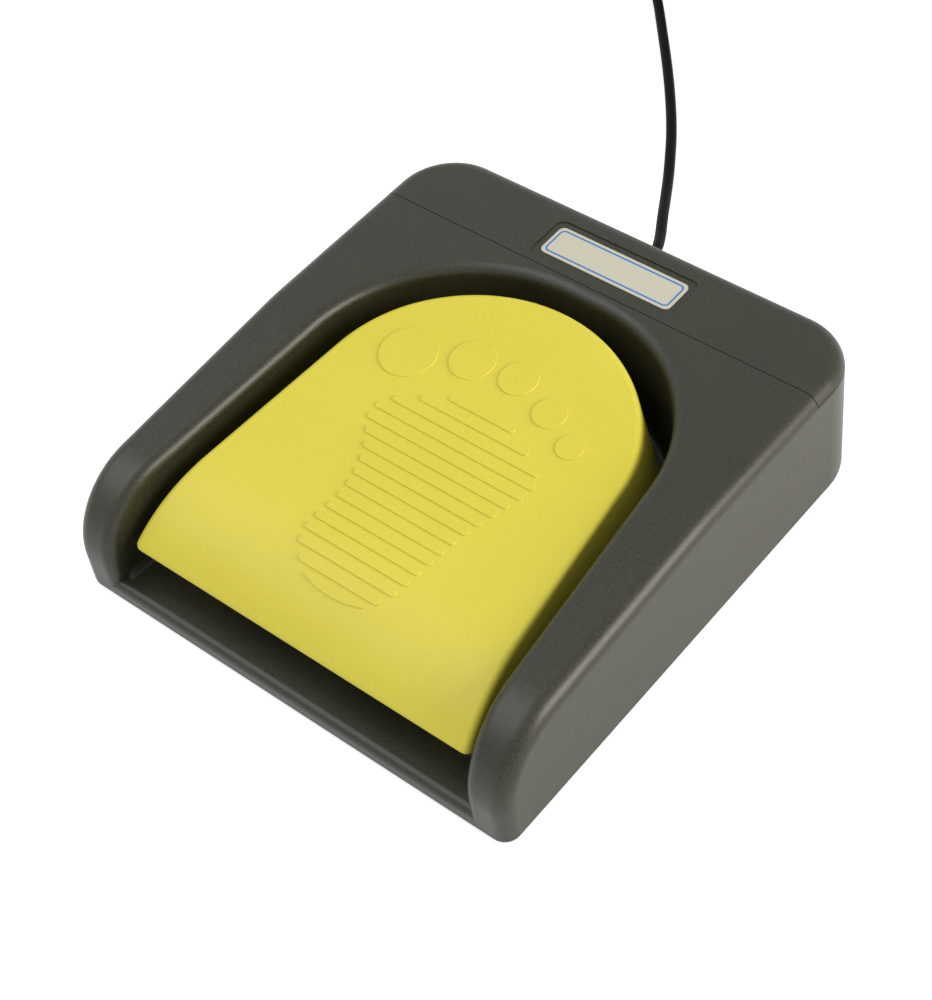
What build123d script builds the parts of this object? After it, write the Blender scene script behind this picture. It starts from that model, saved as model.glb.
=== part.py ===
from build123d import *
import math
import os

os.makedirs("parts", exist_ok=True)

# A usb foot pedal switch, in millimetres. X runs to the right, +Y to the rear where the cable
# leaves, +Z up from the ground under the rubber feet. Distances called "from front" are counted
# along Y from the housing's front face, and "from rear" from its rear face.

# Values that all pieces share
overrun = 6.0
tiny = 0.01
running_gap = 0.05
corner_share = 0.45
close_gap = 0.02
face_gap = 0.1
loose_gap = 0.3

# Housing
housing_width = 130.0
housing_length = 139.6
housing_height = 36.9
flat_length = 65.4
flat_start = housing_length - flat_length
top_slope = 4.49
nose_radius = 21.8
kink_radius = 60.0
rear_corner_radius = 16.0
edge_radius = 4.0
wall = 2.2
front = -housing_length / 2
rear = housing_length / 2

# Feet and base plate
foot_height = 1.2
foot_radius = 7.0
foot_edge_radius = 0.3
foot_from_side = 15.0
foot_from_end = 16.0
plate_thickness = 1.2
rebate_depth = 0.5
rebate_lip = 0.6
plate_top = foot_height + plate_thickness
shell_bottom = plate_top - rebate_depth

# The pedal's well, its floor and its front lip
rail_width = 11.21
well_half_width = housing_width / 2 - rail_width
well_lean = 4.46
well_from_rear = 25.38
well_crown_half = 4.69
rim_radius = 3.0
floor_top = 5.9
floor_thickness = 2.2
floor_bottom = floor_top - floor_thickness
lip_radius = 2.1
lip_depth = 3.5
well_foot_radius = 2.0
compartment_length = 43.6

# Rear cover
seam_from_rear = 22.15
seam_gap = 0.2
cover_skirt = 3.0
shelf_half_width = 24.0
shelf_thickness = 1.6
shelf_reach = 3.0
hook_width = 8.0
hook_from_side = 31.0
hook_x = housing_width / 2 - hook_from_side
hook_thickness = 1.4
hook_reach = 4.5
cover_post_radius = 3.0
cover_post_from_side = 9.5
cover_post_x = housing_width / 2 - cover_post_from_side
cover_post_from_rear = 10.1

# Label and its pocket
label_length = 38.5
label_width = 9.7
label_corner = 1.6
label_thickness = 0.2
label_x = 0.75
label_from_rear = 13.3
pocket_margin = 1.9
pocket_depth = 0.3

# Pedal
pedal_slope = 5.54
pedal_front_height = 26.1
pedal_nose_radius = 38.0
pedal_nose_end = 30.0
pedal_edge_from_front = 5.5
pedal_side_gap = 2.74
pedal_half_width = well_half_width - pedal_side_gap
pedal_lean = 6.96
pedal_toe_gap = 7.99
pedal_crown_half = 5.43
pedal_skirt_clearance = 2.1
skirt_toe_gap = 4.9
skirt_crown_half = 5.7
arc_join_angle = 42.6
pedal_draft = 8.0
pedal_wall = 2.2
pedal_roof = 2.4
pedal_corner_radius = 1.8
pedal_edge_radius = 1.5
pedal_travel = 2.5
skirt_front_height = 6.7
loft_rise = 2.0

# Toes and sole on the pedal
relief_height = 0.35
relief_root = 0.6
relief_edge_radius = 0.25
sole_width = 47.6
sole_start = 16.52
sole_from_toes = 6.4
bar_width_share = 0.595
bar_corner_radius = 0.9
heel_corner_radius = 0.3
sole_left_shares = (-0.2, -0.345, -0.441, -0.458, -0.441, -0.387, -0.338, -0.3, -0.277,
                    -0.263, -0.256, -0.268, -0.275, -0.276, -0.25, -0.18, -0.12)
sole_right_shares = (0.3, 0.45, 0.542, 0.54, 0.521, 0.496, 0.471, 0.447, 0.426,
                     0.41, 0.4, 0.39, 0.378, 0.37, 0.345, 0.3, 0.24)
sole_tip_shares = (-0.1, 0.17)
toe_arch_width = 50.2
toe_from_rear = 60.2
toe_along = housing_length - toe_from_rear
toe_x_shares = (-0.494, -0.197, 0.06, 0.309, 0.506)
toe_rise_shares = (0.0, 0.12, 0.144, 0.058, -0.05)
toe_radii = (7.5, 5.9, 5.0, 4.4, 3.5)

# Hinge
axle_radius = 2.0
axle_from_front = 18.0
axle_height = 13.0
ear_radius = 5.0
ear_thickness = 4.0
ear_from_bracket = 5.0
bracket_thickness = 2.0
bracket_from_well = 12.79
bracket_x = well_half_width - bracket_from_well
ear_x = bracket_x - ear_from_bracket
bracket_radius = 5.5
bracket_corner = 1.0
flange_thickness = 1.5
flange_reach = 5.0
flange_length = 12.0
clip_thickness = 0.7
clip_radius = 3.5
groove_depth = 0.4
groove_width = 0.8
axle_end = 1.2

# Return spring
spring_from_rear = 51.6
spring_radius = 6.0
spring_wire = 1.2
spring_turns = 7.5
spring_seat_radius = 7.4
spring_stud_radius = 3.9
spring_stud_height = 2.5
spring_seat_depth = 1.02
spring_end_rise = 1.5
spring_sunk_share = 0.35

# Stop pads
pad_radius = 5.0
pad_height = 2.0
pad_from_well = 25.79
pad_x = well_half_width - pad_from_well
pad_from_rear = 47.6
stop_post_radius = 4.0

# Actuator arm
arm_width = 10.0
arm_thickness = 1.5
arm_corner = 1.5
arm_screw_shares = (0.27, 0.73)
arm_bottom = 23.7
arm_start_from_rear = 43.6
arm_end_from_rear = 11.6
arm_boss_width = 16.0
arm_boss_length = 10.0
arm_slot_margin = 1.5
arm_slot_head = 0.2
arm_slot_drop = 5.1

# Microswitch
switch_length = 19.8
switch_height = 10.2
switch_thickness = 6.4
switch_corner = 0.5
switch_left = 3.9
switch_from_rear = 13.6
switch_hole_spacing = 9.5
switch_hole_left = 5.15
switch_hole_height = 2.6
lever_pivot_x = 22.0
lever_pivot_rise = 0.9
lever_thickness = 0.5
lever_width = 3.6
lever_angle = 12.3
lever_barrel_radius = 0.8
lever_bump_radius = 1.0
lever_bump_rise = 0.75
trunnion_radius = 0.5
lug_thickness = 0.8
lug_half_length = 1.4
lug_rise = 1.8
plunger_from_pivot = 5.0
plunger_radius = 1.3
plunger_dome = 0.5
plunger_clearance = 0.2
plunger_depth = 3.5
terminal_length = 4.4
terminal_width = 3.2
terminal_thickness = 0.5
terminal_rises = (1.5, 4.5, 7.5)
terminal_hole_radius = 0.6
switch_rib_thickness = 3.0
switch_rib_height = 9.0
switch_rib_margin = 1.4

# Circuit board
board_from_side = 13.0
board_from_cable = 12.0
board_width = 16.0
board_thickness = 1.6
board_from_rear = 13.0
board_height = 9.9
board_corner = 0.8
board_hole_inset = 2.6
board_post_radius = 2.4
chip_length = 9.0
chip_width = 6.0
chip_height = 1.5
chip_offset = -2.5
crystal_length = 8.0
crystal_width = 3.4
crystal_height = 3.2
crystal_offset_x = -2.5
crystal_offset_y = 5.2
capacitor_radius = 1.9
capacitor_height = 5.2
capacitor_offsets = ((-9.5, -2.2), (-9.5, 2.0))
header_length = 4.7
header_height = 1.6
header_from_edge = 5.0
connector_height = 3.4
connector_inset = 0.3
cable_header_width = 9.0
cable_header_offset = -3.1
switch_header_width = 5.0
switch_header_offset = 4.8

# Cable inside the housing
cord_diameter = 3.0
cable_x = -10.5
cable_height = 11.0
cable_turn_from_rear = 18.6
cable_turn_radius = 6.0
cable_end_reach = 6.5
wire_diameter = 0.8
wire_spread = 0.5
wire_pitch = 2.0
wire_count = 4
wire_lead = 1.0
wire_bend = 0.5
wire_turn_reach = 11.3
wire_header_height = 14.0
switch_wire_diameter = 1.0
switch_wire_bend = 1.2
switch_wire_from_rear = 4.5
switch_wire_lead = 3.4
switch_wire_turn_reach = 6.5
switch_wire_end_reach = 10.5

# Cable clamp
clamp_half_length = 5.7
clamp_from_rear = 9.85
clamp_width = 5.5
clamp_thickness = 4.0
clamp_screw_offset = 3.7

# Screws: shank radius, head radius and head height
small_screw = (1.0, 1.9, 1.3)
plain_screw = (1.2, 2.2, 1.2)
base_head_radius = 2.4
pilot_gap = 0.05
hole_gap = 0.2
bracket_screw_reach = 4.4
cover_screw_reach = 10.0
base_screw_reach = 8.0
arm_screw_reach = 8.0
board_screw_reach = 5.2
clamp_screw_reach = 6.4
switch_screw_reach = 9.0
boss_radius = 3.2
boss_from_side = 6.6
front_boss_from_front = 25.0
rear_boss_from_rear = 35.6

# Strain relief
relief_hole_radius = 3.2
relief_flange_radius = 4.5
relief_flange_thickness = 1.2
relief_length = 11.0
relief_root_radius = 3.3
relief_tip_radius = 2.2
relief_rings = 4
ring_depth = 0.4
ring_share = 0.45

# The cable outside: free stretch, coil, tail, tie and plug
coil_x = -85.0
coil_behind = 152.4
coil_outer_radius = 24.0
coil_pitch = 4.0
coil_layers = 4
coil_whole_turns = 14
coil_entry_angle = 223.0
coil_exit_angle = 100.0
coil_spans = 6
coil_lead = 14.0
tail_lead = 10.5
plug_lead = 12.0
tie_thickness = 0.8
tie_width = 4.0
tie_gap = 0.4
tie_angle = 20.0
tie_corner = 1.4
tie_head = 3.0
plug_heading = 8.0
plug_body_length = 24.0
plug_body_width = 15.8
plug_body_height = 8.0
plug_body_corner = 2.0
plug_edge_radius = 0.8
plug_boot_length = 9.0
plug_boot_root_radius = 3.0
plug_boot_tip_radius = 2.1
plug_shell_length = 12.0
plug_shell_width = 12.0
plug_shell_height = 4.5
plug_shell_corner = 0.5
plug_shell_wall = 0.3
plug_tongue_length = 11.4
plug_tongue_width = 11.0
plug_tongue_thickness = 1.9
contact_length = 8.0
contact_width = 1.0
contact_thickness = 0.1
contact_pitch = 2.4
contact_count = 4
window_size = 2.0
window_spacing = 5.0


def from_front(distance):
    return front + distance


def from_rear(distance):
    return rear - distance


# Straight side and arc radius of half an outline, from its width, lean, reach and half its crown
def side_and_radius(half_width, lean_degrees, reach, crown_half):
    lean = math.radians(lean_degrees)
    rise_share = (1 - math.sin(lean)) / math.cos(lean)
    side_length = reach - rise_share * (half_width - crown_half)
    side_length = side_length / (1 - rise_share * math.tan(lean))
    return side_length, (half_width - math.tan(lean) * side_length - crown_half) / math.cos(lean)


well_reach = housing_length - well_from_rear
well_side_length, well_arc_radius = side_and_radius(
    well_half_width, well_lean, well_reach, well_crown_half)
pedal_side_length, pedal_side_radius = side_and_radius(
    pedal_half_width, pedal_lean, well_reach - pedal_toe_gap, pedal_crown_half)
skirt_half_width = well_half_width - pedal_skirt_clearance
skirt_side_length, skirt_side_radius = side_and_radius(
    skirt_half_width, well_lean, well_reach - skirt_toe_gap, skirt_crown_half)
well_crown = from_rear(well_from_rear)


# Outline of the housing seen from above, in a plane at the given height
def plan_outline(height, inset, front_radius):
    with BuildSketch(Plane.XY.offset(height)) as outline:
        Rectangle(housing_width - 2 * inset, housing_length - 2 * inset)
        fillet(outline.vertices().group_by(Axis.Y)[-1], rear_corner_radius - inset)
        if front_radius > inset:
            fillet(outline.vertices().group_by(Axis.Y)[0], front_radius - inset)
    return outline.sketch


# Side view of the housing: rear wall, flat top, slope, rounded nose and front face
def side_outline(inset, bottom):
    slope = math.radians(top_slope)
    kink = from_front(flat_start) + inset * math.tan(slope / 2)
    top = housing_height - inset
    corner = housing_height - (flat_start - inset) * math.tan(slope) - inset / math.cos(slope)
    with BuildSketch(Plane.YZ) as outline:
        with BuildLine():
            FilletPolyline(
                (rear - inset, bottom),
                (rear - inset, top),
                (kink, top),
                (front + inset, corner),
                (front + inset, bottom),
                radius=(0, kink_radius - inset, nose_radius - inset),
            )
            Line((front + inset, bottom), (rear - inset, bottom))
        make_face()
    return outline.sketch


# The housing's block, or the same block with every side moved in by inset
def housing_block(inset, bottom):
    with BuildPart() as block:
        extrude(side_outline(inset, bottom), amount=housing_width / 2 - inset, both=True)
        extrude(plan_outline(bottom, inset, 0), amount=housing_height - bottom, mode=Mode.INTERSECT)
    return block.part


# Outline of the well: two leaning sides, two quarter arcs and a short straight crown
def well_outline(height, outset):
    lean = math.radians(well_lean)
    reach = well_arc_radius + outset
    centre_x = well_half_width - math.tan(lean) * well_side_length
    centre_x = centre_x - well_arc_radius * math.cos(lean)
    centre_y = from_front(well_side_length) - well_arc_radius * math.sin(lean)
    side = (centre_x + reach * math.cos(lean), centre_y + reach * math.sin(lean))
    middle_angle = (lean + math.pi / 2) / 2
    middle = (centre_x + reach * math.cos(middle_angle), centre_y + reach * math.sin(middle_angle))
    mouth = (side[0] + math.tan(lean) * (side[1] - front + overrun), front - overrun)
    with BuildSketch(Plane.XY.offset(height)) as outline:
        with BuildLine():
            Line(mouth, side)
            ThreePointArc(side, middle, (centre_x, centre_y + reach))
            Line((centre_x, centre_y + reach), (-centre_x, centre_y + reach))
            ThreePointArc((-centre_x, centre_y + reach), (-middle[0], middle[1]), (-side[0], side[1]))
            Line((-side[0], side[1]), (-mouth[0], mouth[1]))
            Line((-mouth[0], mouth[1]), mouth)
        make_face()
    return outline.sketch


# Outline of the pedal in its own plane: two leaning sides, two side arcs and one arc round the toes
def pedal_outline(plane, half_width, lean_degrees, side_length, side_radius, outset):
    lean = math.radians(lean_degrees)
    join = math.radians(arc_join_angle)
    centre_x = half_width - math.tan(lean) * side_length - side_radius * math.cos(lean)
    centre_y = side_length - side_radius * math.sin(lean)
    toe_radius = side_radius + centre_x / math.cos(join)
    toe_centre_y = centre_y + (side_radius - toe_radius) * math.sin(join)
    reach = side_radius + outset
    toe_reach = toe_radius + outset
    side = (centre_x + reach * math.cos(lean), centre_y + reach * math.sin(lean))
    between = (lean + join) / 2
    middle = (centre_x + reach * math.cos(between), centre_y + reach * math.sin(between))
    meeting = (centre_x + reach * math.cos(join), centre_y + reach * math.sin(join))
    mouth = (side[0] + math.tan(lean) * (side[1] + overrun), -overrun)
    with BuildSketch(plane) as outline:
        with BuildLine():
            Line(mouth, side)
            ThreePointArc(side, middle, meeting)
            ThreePointArc(meeting, (0, toe_centre_y + toe_reach), (-meeting[0], meeting[1]))
            ThreePointArc((-meeting[0], meeting[1]), (-middle[0], middle[1]), (-side[0], side[1]))
            Line((-side[0], side[1]), (-mouth[0], mouth[1]))
            Line((-mouth[0], mouth[1]), mouth)
        make_face()
    return outline.sketch


def inclined_plane(height_at_front, degrees):
    slope = math.radians(degrees)
    return Plane(
        origin=(0, front, height_at_front),
        x_dir=(1, 0, 0),
        z_dir=(0, -math.sin(slope), math.cos(slope)),
    )


pedal_plane = inclined_plane(pedal_front_height, pedal_slope)
skirt_plane = inclined_plane(skirt_front_height, pedal_travel)
pedal_tilt = math.radians(pedal_slope)
nose_top_y = from_front(pedal_nose_end)
nose_top_z = pedal_front_height + pedal_nose_end * math.tan(pedal_tilt)
nose_centre_y = nose_top_y + pedal_nose_radius * math.sin(pedal_tilt)
nose_centre_z = nose_top_z - pedal_nose_radius * math.cos(pedal_tilt)
nose_edge_angle = math.acos((from_front(pedal_edge_from_front) - nose_centre_y) / pedal_nose_radius)


# Height of the pedal's upper plane, and of the lower edge of its skirt, at a place along Y
def pedal_plane_height(place):
    return pedal_front_height + (place - front) * math.tan(pedal_tilt)


def skirt_height(place):
    return skirt_front_height + (place - front) * math.tan(math.radians(pedal_travel))


def nose_point(radius, angle):
    return (nose_centre_y + radius * math.cos(angle), nose_centre_z + radius * math.sin(angle))


# A round rod along a path of straight runs and arcs
def rod_along(path, diameter):
    with BuildPart() as rod:
        with BuildSketch(path ^ 0):
            Circle(diameter / 2)
        sweep(path=path)
    return rod.part


# Radii for the corners of a free cord's route: a share of the shorter run over the tangent of half the turn
def route_radii(route, name):
    radii = []
    for before, corner, after in zip(route, route[1:], route[2:]):
        run_in = Vector(*corner) - Vector(*before)
        run_out = Vector(*after) - Vector(*corner)
        turn = math.radians(run_in.get_angle(run_out))
        shorter = min(run_in.length, run_out.length)
        radii.append(corner_share * shorter / math.tan(turn / 2))
    print(name, "radii", [round(radius, 1) for radius in radii])
    return radii


def print_volume(name, solid, length, diameter):
    expected = length * math.pi * diameter ** 2 / 4
    print(name, "length", round(length, 1), "volume over section times length",
          round(solid.volume / expected, 4))


# Two tangent arcs from one point and direction to the next
def add_biarc(start, start_way, end, end_way):
    gap = end - start
    ways = start_way + end_way
    closing = 2 * (1 - start_way.dot(end_way))
    along = gap.dot(ways)
    reach = (math.sqrt(along ** 2 + closing * gap.dot(gap)) - along) / closing
    joint = (start + end + (start_way - end_way) * reach) * 0.5
    joint_way = (end - end_way * reach - start - start_way * reach).normalized()
    TangentArc(start, joint, tangent=start_way)
    TangentArc(joint, end, tangent=joint_way)


# Least distance between two stretches of a wound path that aren't neighbours along it
def least_gap(path, diameter, samples_per_edge):
    points = []
    for edge in path.edges():
        for step in range(samples_per_edge):
            points.append(edge.position_at(step / samples_per_edge))
    travelled = [0.0]
    for before, after in zip(points, points[1:]):
        travelled.append(travelled[-1] + (after - before).length)
    least = path.length
    for first, point in enumerate(points):
        for second in range(first + 1, len(points)):
            if travelled[second] - travelled[first] > 3 * diameter:
                least = min(least, (points[second] - point).length)
    return least - diameter


# A screw with its head's underside at the origin of the plane and its shank along the plane's normal
def add_screw(plane, sizes, reach):
    shank_radius, head_radius, head_height = sizes
    with BuildSketch(plane) as shank:
        Circle(shank_radius)
    extrude(to_extrude=shank.sketch, amount=reach)
    with BuildSketch(plane) as head:
        Circle(head_radius)
    extrude(to_extrude=head.sketch, amount=-head_height)


# Housing form: the outside of shell and cover together, with the well cut through
def round_the_top(edge):
    place = edge.center()
    if place.Z < shell_bottom + tiny:
        return False
    if abs(edge.tangent_at(0.5).Z) > 1 - tiny:
        return place.Y < front + tiny
    at_side = abs(place.X) > housing_width / 2 - tiny
    at_rear = place.Z > housing_height - tiny and place.Y > rear - rear_corner_radius - tiny
    return at_side or at_rear


def round_the_rim(edge):
    place = edge.center()
    way = edge.tangent_at(0.5)
    if place.Z < shell_bottom + tiny or place.Y > from_rear(seam_from_rear):
        return False
    if abs(place.X) > housing_width / 2 - edge_radius - tiny:
        return False
    if abs(way.Z) > 1 - tiny:
        return place.Y < front + tiny
    return abs(way.X) < 1 - tiny or abs(place.X) < tiny


with BuildPart() as housing_form:
    add(housing_block(0, shell_bottom))
    fillet(housing_form.edges().filter_by(round_the_top), edge_radius)
    extrude(well_outline(0, 0), amount=housing_height + overrun, mode=Mode.SUBTRACT)
    fillet(housing_form.edges().filter_by(round_the_rim), rim_radius)

# The hollow inside the housing, behind and beside the well's wall
with BuildPart() as housing_hollow:
    add(housing_block(wall, -overrun))
    extrude(well_outline(-overrun, wall), amount=housing_height + 2 * overrun, mode=Mode.SUBTRACT)

cover_front = from_rear(seam_from_rear) + seam_gap / 2
cover_bottom = housing_height - cover_skirt
ceiling = housing_height - wall

# Rear cover: a lid with a short skirt, two hooks in front, two screw posts and the label's pocket
with BuildPart() as rear_cover:
    add(housing_form.part)
    with BuildSketch(Plane.XY.offset(cover_bottom)):
        with Locations((0, (cover_front + rear + overrun) / 2)):
            Rectangle(housing_width + overrun, rear + overrun - cover_front)
    extrude(amount=cover_skirt + overrun, mode=Mode.INTERSECT)
    add(housing_hollow.part, mode=Mode.SUBTRACT)
    with BuildSketch(Plane.XY.offset(housing_height)):
        with Locations((label_x, from_rear(label_from_rear))):
            RectangleRounded(
                label_length + 2 * pocket_margin, label_width + 2 * pocket_margin,
                label_corner + pocket_margin / 2,
            )
    extrude(amount=-pocket_depth, mode=Mode.SUBTRACT)
    for hook_side in (-1, 1):
        with BuildSketch(Plane.YZ.offset(hook_side * hook_x)):
            with BuildLine():
                Polyline(
                    (cover_front - hook_reach, ceiling - face_gap),
                    (cover_front, ceiling - face_gap),
                    (cover_front, ceiling + wall / 2),
                    (cover_front + hook_reach, ceiling + wall / 2),
                    (cover_front + hook_reach, ceiling - face_gap - hook_thickness),
                    (cover_front - hook_reach, ceiling - face_gap - hook_thickness),
                    close=True,
                )
            make_face()
        extrude(amount=hook_width / 2, both=True)
    with BuildSketch(Plane.XY.offset(floor_top)):
        with Locations(
            (-cover_post_x, from_rear(cover_post_from_rear)),
            (cover_post_x, from_rear(cover_post_from_rear)),
        ):
            Circle(cover_post_radius)
            Circle(plain_screw[0] + pilot_gap, mode=Mode.SUBTRACT)
    extrude(amount=ceiling - floor_top + wall / 2)
rear_cover.part.label = "rear_cover"
export_step(rear_cover.part, "parts/rear_cover.step")

# Blank label in the cover's pocket
with BuildPart() as blank_label:
    with BuildSketch(Plane.XY.offset(housing_height - pocket_depth)):
        with Locations((label_x, from_rear(label_from_rear))):
            RectangleRounded(label_length, label_width, label_corner)
    extrude(amount=label_thickness)
blank_label.part.label = "blank_label"
export_step(blank_label.part, "parts/blank_label.step")

# The well's floor with its rounded front lip
with BuildPart() as lip_floor:
    extrude(well_outline(floor_bottom, wall / 2), amount=floor_thickness)
    with BuildSketch(Plane.XY.offset(floor_bottom)):
        Rectangle(housing_width, housing_length)
    extrude(amount=floor_thickness, mode=Mode.INTERSECT)
    with BuildSketch(Plane.XY.offset(shell_bottom)):
        with Locations((0, front + lip_depth / 2)):
            Rectangle(2 * (well_half_width + rim_radius + loose_gap), lip_depth)
    extrude(amount=floor_top - shell_bottom)
    lip_edge = lip_floor.edges().filter_by(Axis.X).group_by(Axis.Y)[0].sort_by(Axis.Z)[-1]
    fillet(lip_edge, lip_radius)

# The hollow moulded radius where the well's wall meets its floor
with BuildPart() as well_space:
    extrude(well_outline(floor_top, 0), amount=housing_height)
    floor_edges = well_space.edges().group_by(Axis.Z)[0].filter_by(
        lambda edge: edge.center().Y > front
    )
    fillet(floor_edges, well_foot_radius)

well_foot_start = front + rim_radius
with BuildPart() as well_foot:
    extrude(well_outline(floor_top - rebate_depth, wall / 2), amount=well_foot_radius + rebate_depth)
    with BuildSketch(Plane.YZ):
        with BuildLine():
            Polyline(
                (well_foot_start, floor_top - rebate_depth),
                (well_foot_start + well_foot_radius, floor_top + well_foot_radius),
                (rear, floor_top + well_foot_radius),
                (rear, floor_top - rebate_depth),
                close=True,
            )
        make_face()
    extrude(amount=housing_width / 2, both=True, mode=Mode.INTERSECT)
    add(well_space.part, mode=Mode.SUBTRACT)

axle_y = from_front(axle_from_front)
arm_top = arm_bottom + arm_thickness
switch_y = from_rear(switch_from_rear)
switch_front_y = switch_y - switch_thickness / 2
board_y = from_rear(board_from_rear)
board_left = board_from_side - housing_width / 2
board_right = cable_x - board_from_cable
board_length = board_right - board_left
board_x = (board_left + board_right) / 2
clamp_y = from_rear(clamp_from_rear)
clamp_seat = cable_height - cord_diameter / 2
base_boss_places = [
    (side * (housing_width / 2 - boss_from_side), place)
    for side in (-1, 1)
    for place in (from_front(front_boss_from_front), from_rear(rear_boss_from_rear))
]
bracket_screw_x = bracket_x + bracket_thickness / 2 + flange_reach / 2
bracket_screw_y = flange_length / 2 - plain_screw[1] - loose_gap
bracket_screw_places = [
    (side * bracket_screw_x, axle_y + step)
    for side in (-1, 1)
    for step in (-bracket_screw_y, bracket_screw_y)
]
cover_screw_places = [(side * cover_post_x, from_rear(cover_post_from_rear)) for side in (-1, 1)]
board_screw_places = [
    (board_x + along * (board_length / 2 - board_hole_inset),
     board_y + across * (board_width / 2 - board_hole_inset))
    for along in (-1, 1)
    for across in (-1, 1)
]
clamp_screw_places = [(cable_x + side * clamp_screw_offset, clamp_y) for side in (-1, 1)]
switch_screw_places = [
    (switch_left + switch_hole_left + step * switch_hole_spacing, floor_top + switch_hole_height)
    for step in (0, 1)
]

# Main housing: walls, rails, well, floor and everything moulded on the floor
with BuildPart() as main_housing:
    add(housing_form.part)
    with BuildSketch(Plane.XY.offset(cover_bottom - seam_gap)):
        with Locations((0, (cover_front - seam_gap + rear + overrun) / 2)):
            Rectangle(housing_width + overrun, rear + overrun - cover_front + seam_gap)
    extrude(amount=cover_skirt + overrun, mode=Mode.SUBTRACT)
    add(housing_hollow.part, mode=Mode.SUBTRACT)
    add(lip_floor.part)
    add(well_foot.part)
    # floor of the rear compartment
    with BuildSketch(Plane.XY.offset(floor_bottom)):
        add(plan_outline(0, wall / 2, 0))
        with Locations((0, (front + from_rear(compartment_length)) / 2)):
            Rectangle(housing_width, housing_length - compartment_length, mode=Mode.SUBTRACT)
    extrude(amount=floor_thickness)
    # shelf under the cover's front edge
    with BuildSketch(Plane.XY.offset(ceiling - shelf_thickness)):
        with Locations((0, (well_crown + wall / 2 + cover_front + shelf_reach) / 2)):
            Rectangle(2 * shelf_half_width, cover_front + shelf_reach - well_crown - wall / 2)
    extrude(amount=shelf_thickness)
    # bosses for the base screws, up to the underside of the top
    for boss_x, boss_y in base_boss_places:
        boss_top = ceiling - max(0, from_front(flat_start) - boss_y) * math.tan(math.radians(top_slope))
        with BuildSketch(Plane.XY.offset(foot_height)):
            with Locations((boss_x, boss_y)):
                Circle(boss_radius)
        extrude(amount=boss_top + wall / 2 - foot_height)
    # stud inside the return spring
    with BuildSketch(Plane.XY.offset(floor_top)):
        with Locations((0, from_rear(spring_from_rear))):
            Circle(spring_stud_radius)
    extrude(amount=spring_stud_height)
    # rib that the switch is screwed to
    with BuildSketch(Plane.XY.offset(floor_top)):
        with Locations((switch_left + switch_length / 2, switch_front_y - switch_rib_thickness / 2)):
            Rectangle(switch_length - 2 * switch_rib_margin, switch_rib_thickness)
    extrude(amount=switch_rib_height)
    # posts under the circuit board
    with BuildSketch(Plane.XY.offset(floor_top)):
        with Locations(*board_screw_places):
            Circle(board_post_radius)
    extrude(amount=board_height - floor_top)
    # seat under the cable clamp
    with BuildSketch(Plane.XY.offset(floor_top)):
        with Locations((cable_x, clamp_y)):
            Rectangle(2 * clamp_half_length, clamp_width)
    extrude(amount=clamp_seat - floor_top)
    # rebate for the base plate
    extrude(plan_outline(0, rebate_lip, edge_radius), amount=plate_top, mode=Mode.SUBTRACT)
    # slot for the actuator arm
    with BuildSketch(Plane.XY.offset(arm_bottom - arm_slot_drop)):
        with Locations((0, well_crown + wall / 2)):
            Rectangle(arm_width + 2 * arm_slot_margin, 2 * wall)
    extrude(amount=arm_slot_drop + arm_thickness + arm_slot_head, mode=Mode.SUBTRACT)
    # hole for the strain relief
    with BuildSketch(Plane.XZ.offset(-rear - overrun)):
        with Locations((cable_x, cable_height)):
            Circle(relief_hole_radius + face_gap)
    extrude(amount=wall + overrun + loose_gap, mode=Mode.SUBTRACT)
    # screw holes
    with BuildSketch(Plane.XY.offset(0)):
        with Locations(*base_boss_places):
            Circle(plain_screw[0] + pilot_gap)
    extrude(amount=foot_height + base_screw_reach + face_gap, mode=Mode.SUBTRACT)
    with BuildSketch(Plane.XY.offset(0)):
        with Locations(*bracket_screw_places):
            Circle(plain_screw[0] + pilot_gap)
    extrude(amount=floor_top + tiny, mode=Mode.SUBTRACT)
    with BuildSketch(Plane.XY.offset(0)):
        with Locations(*cover_screw_places):
            Circle(plain_screw[0] + hole_gap)
    extrude(amount=floor_top + tiny, mode=Mode.SUBTRACT)
    with BuildSketch(Plane.XY.offset(board_height)):
        with Locations(*board_screw_places):
            Circle(small_screw[0] + pilot_gap)
    extrude(amount=board_thickness - board_screw_reach - face_gap, mode=Mode.SUBTRACT)
    with BuildSketch(Plane.XY.offset(clamp_seat)):
        with Locations(*clamp_screw_places):
            Circle(small_screw[0] + pilot_gap)
    extrude(amount=clamp_thickness - clamp_screw_reach - face_gap, mode=Mode.SUBTRACT)
    with BuildSketch(Plane.XZ.offset(-switch_front_y)):
        with Locations(*switch_screw_places):
            Circle(small_screw[0] + pilot_gap)
    extrude(amount=switch_rib_thickness + tiny, mode=Mode.SUBTRACT)
main_housing.part.label = "main_housing"
export_step(main_housing.part, "parts/main_housing.step")

# Base plate, let into the rebate, with a thin flange under the shell's edge and countersunk holes
with BuildPart() as base_plate:
    extrude(plan_outline(foot_height, rebate_lip + face_gap, edge_radius), amount=plate_thickness)
    extrude(plan_outline(foot_height, face_gap, edge_radius), amount=shell_bottom - face_gap - foot_height)
    with Locations(*[(x, y, foot_height) for x, y in base_boss_places]):
        Cone(
            base_head_radius + close_gap, plain_screw[0] + close_gap, plate_thickness,
            align=(Align.CENTER, Align.CENTER, Align.MIN), mode=Mode.SUBTRACT,
        )
base_plate.part.label = "base_plate"
export_step(base_plate.part, "parts/base_plate.step")

# Countersunk screws that hold the base plate
with BuildPart() as base_screws:
    with Locations(*[(x, y, foot_height) for x, y in base_boss_places]):
        Cone(
            base_head_radius, plain_screw[0], plate_thickness,
            align=(Align.CENTER, Align.CENTER, Align.MIN),
        )
        Cylinder(
            plain_screw[0], base_screw_reach, align=(Align.CENTER, Align.CENTER, Align.MIN),
        )
base_screws.part.label = "base_screws"
export_step(base_screws.part, "parts/base_screws.step")

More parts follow.
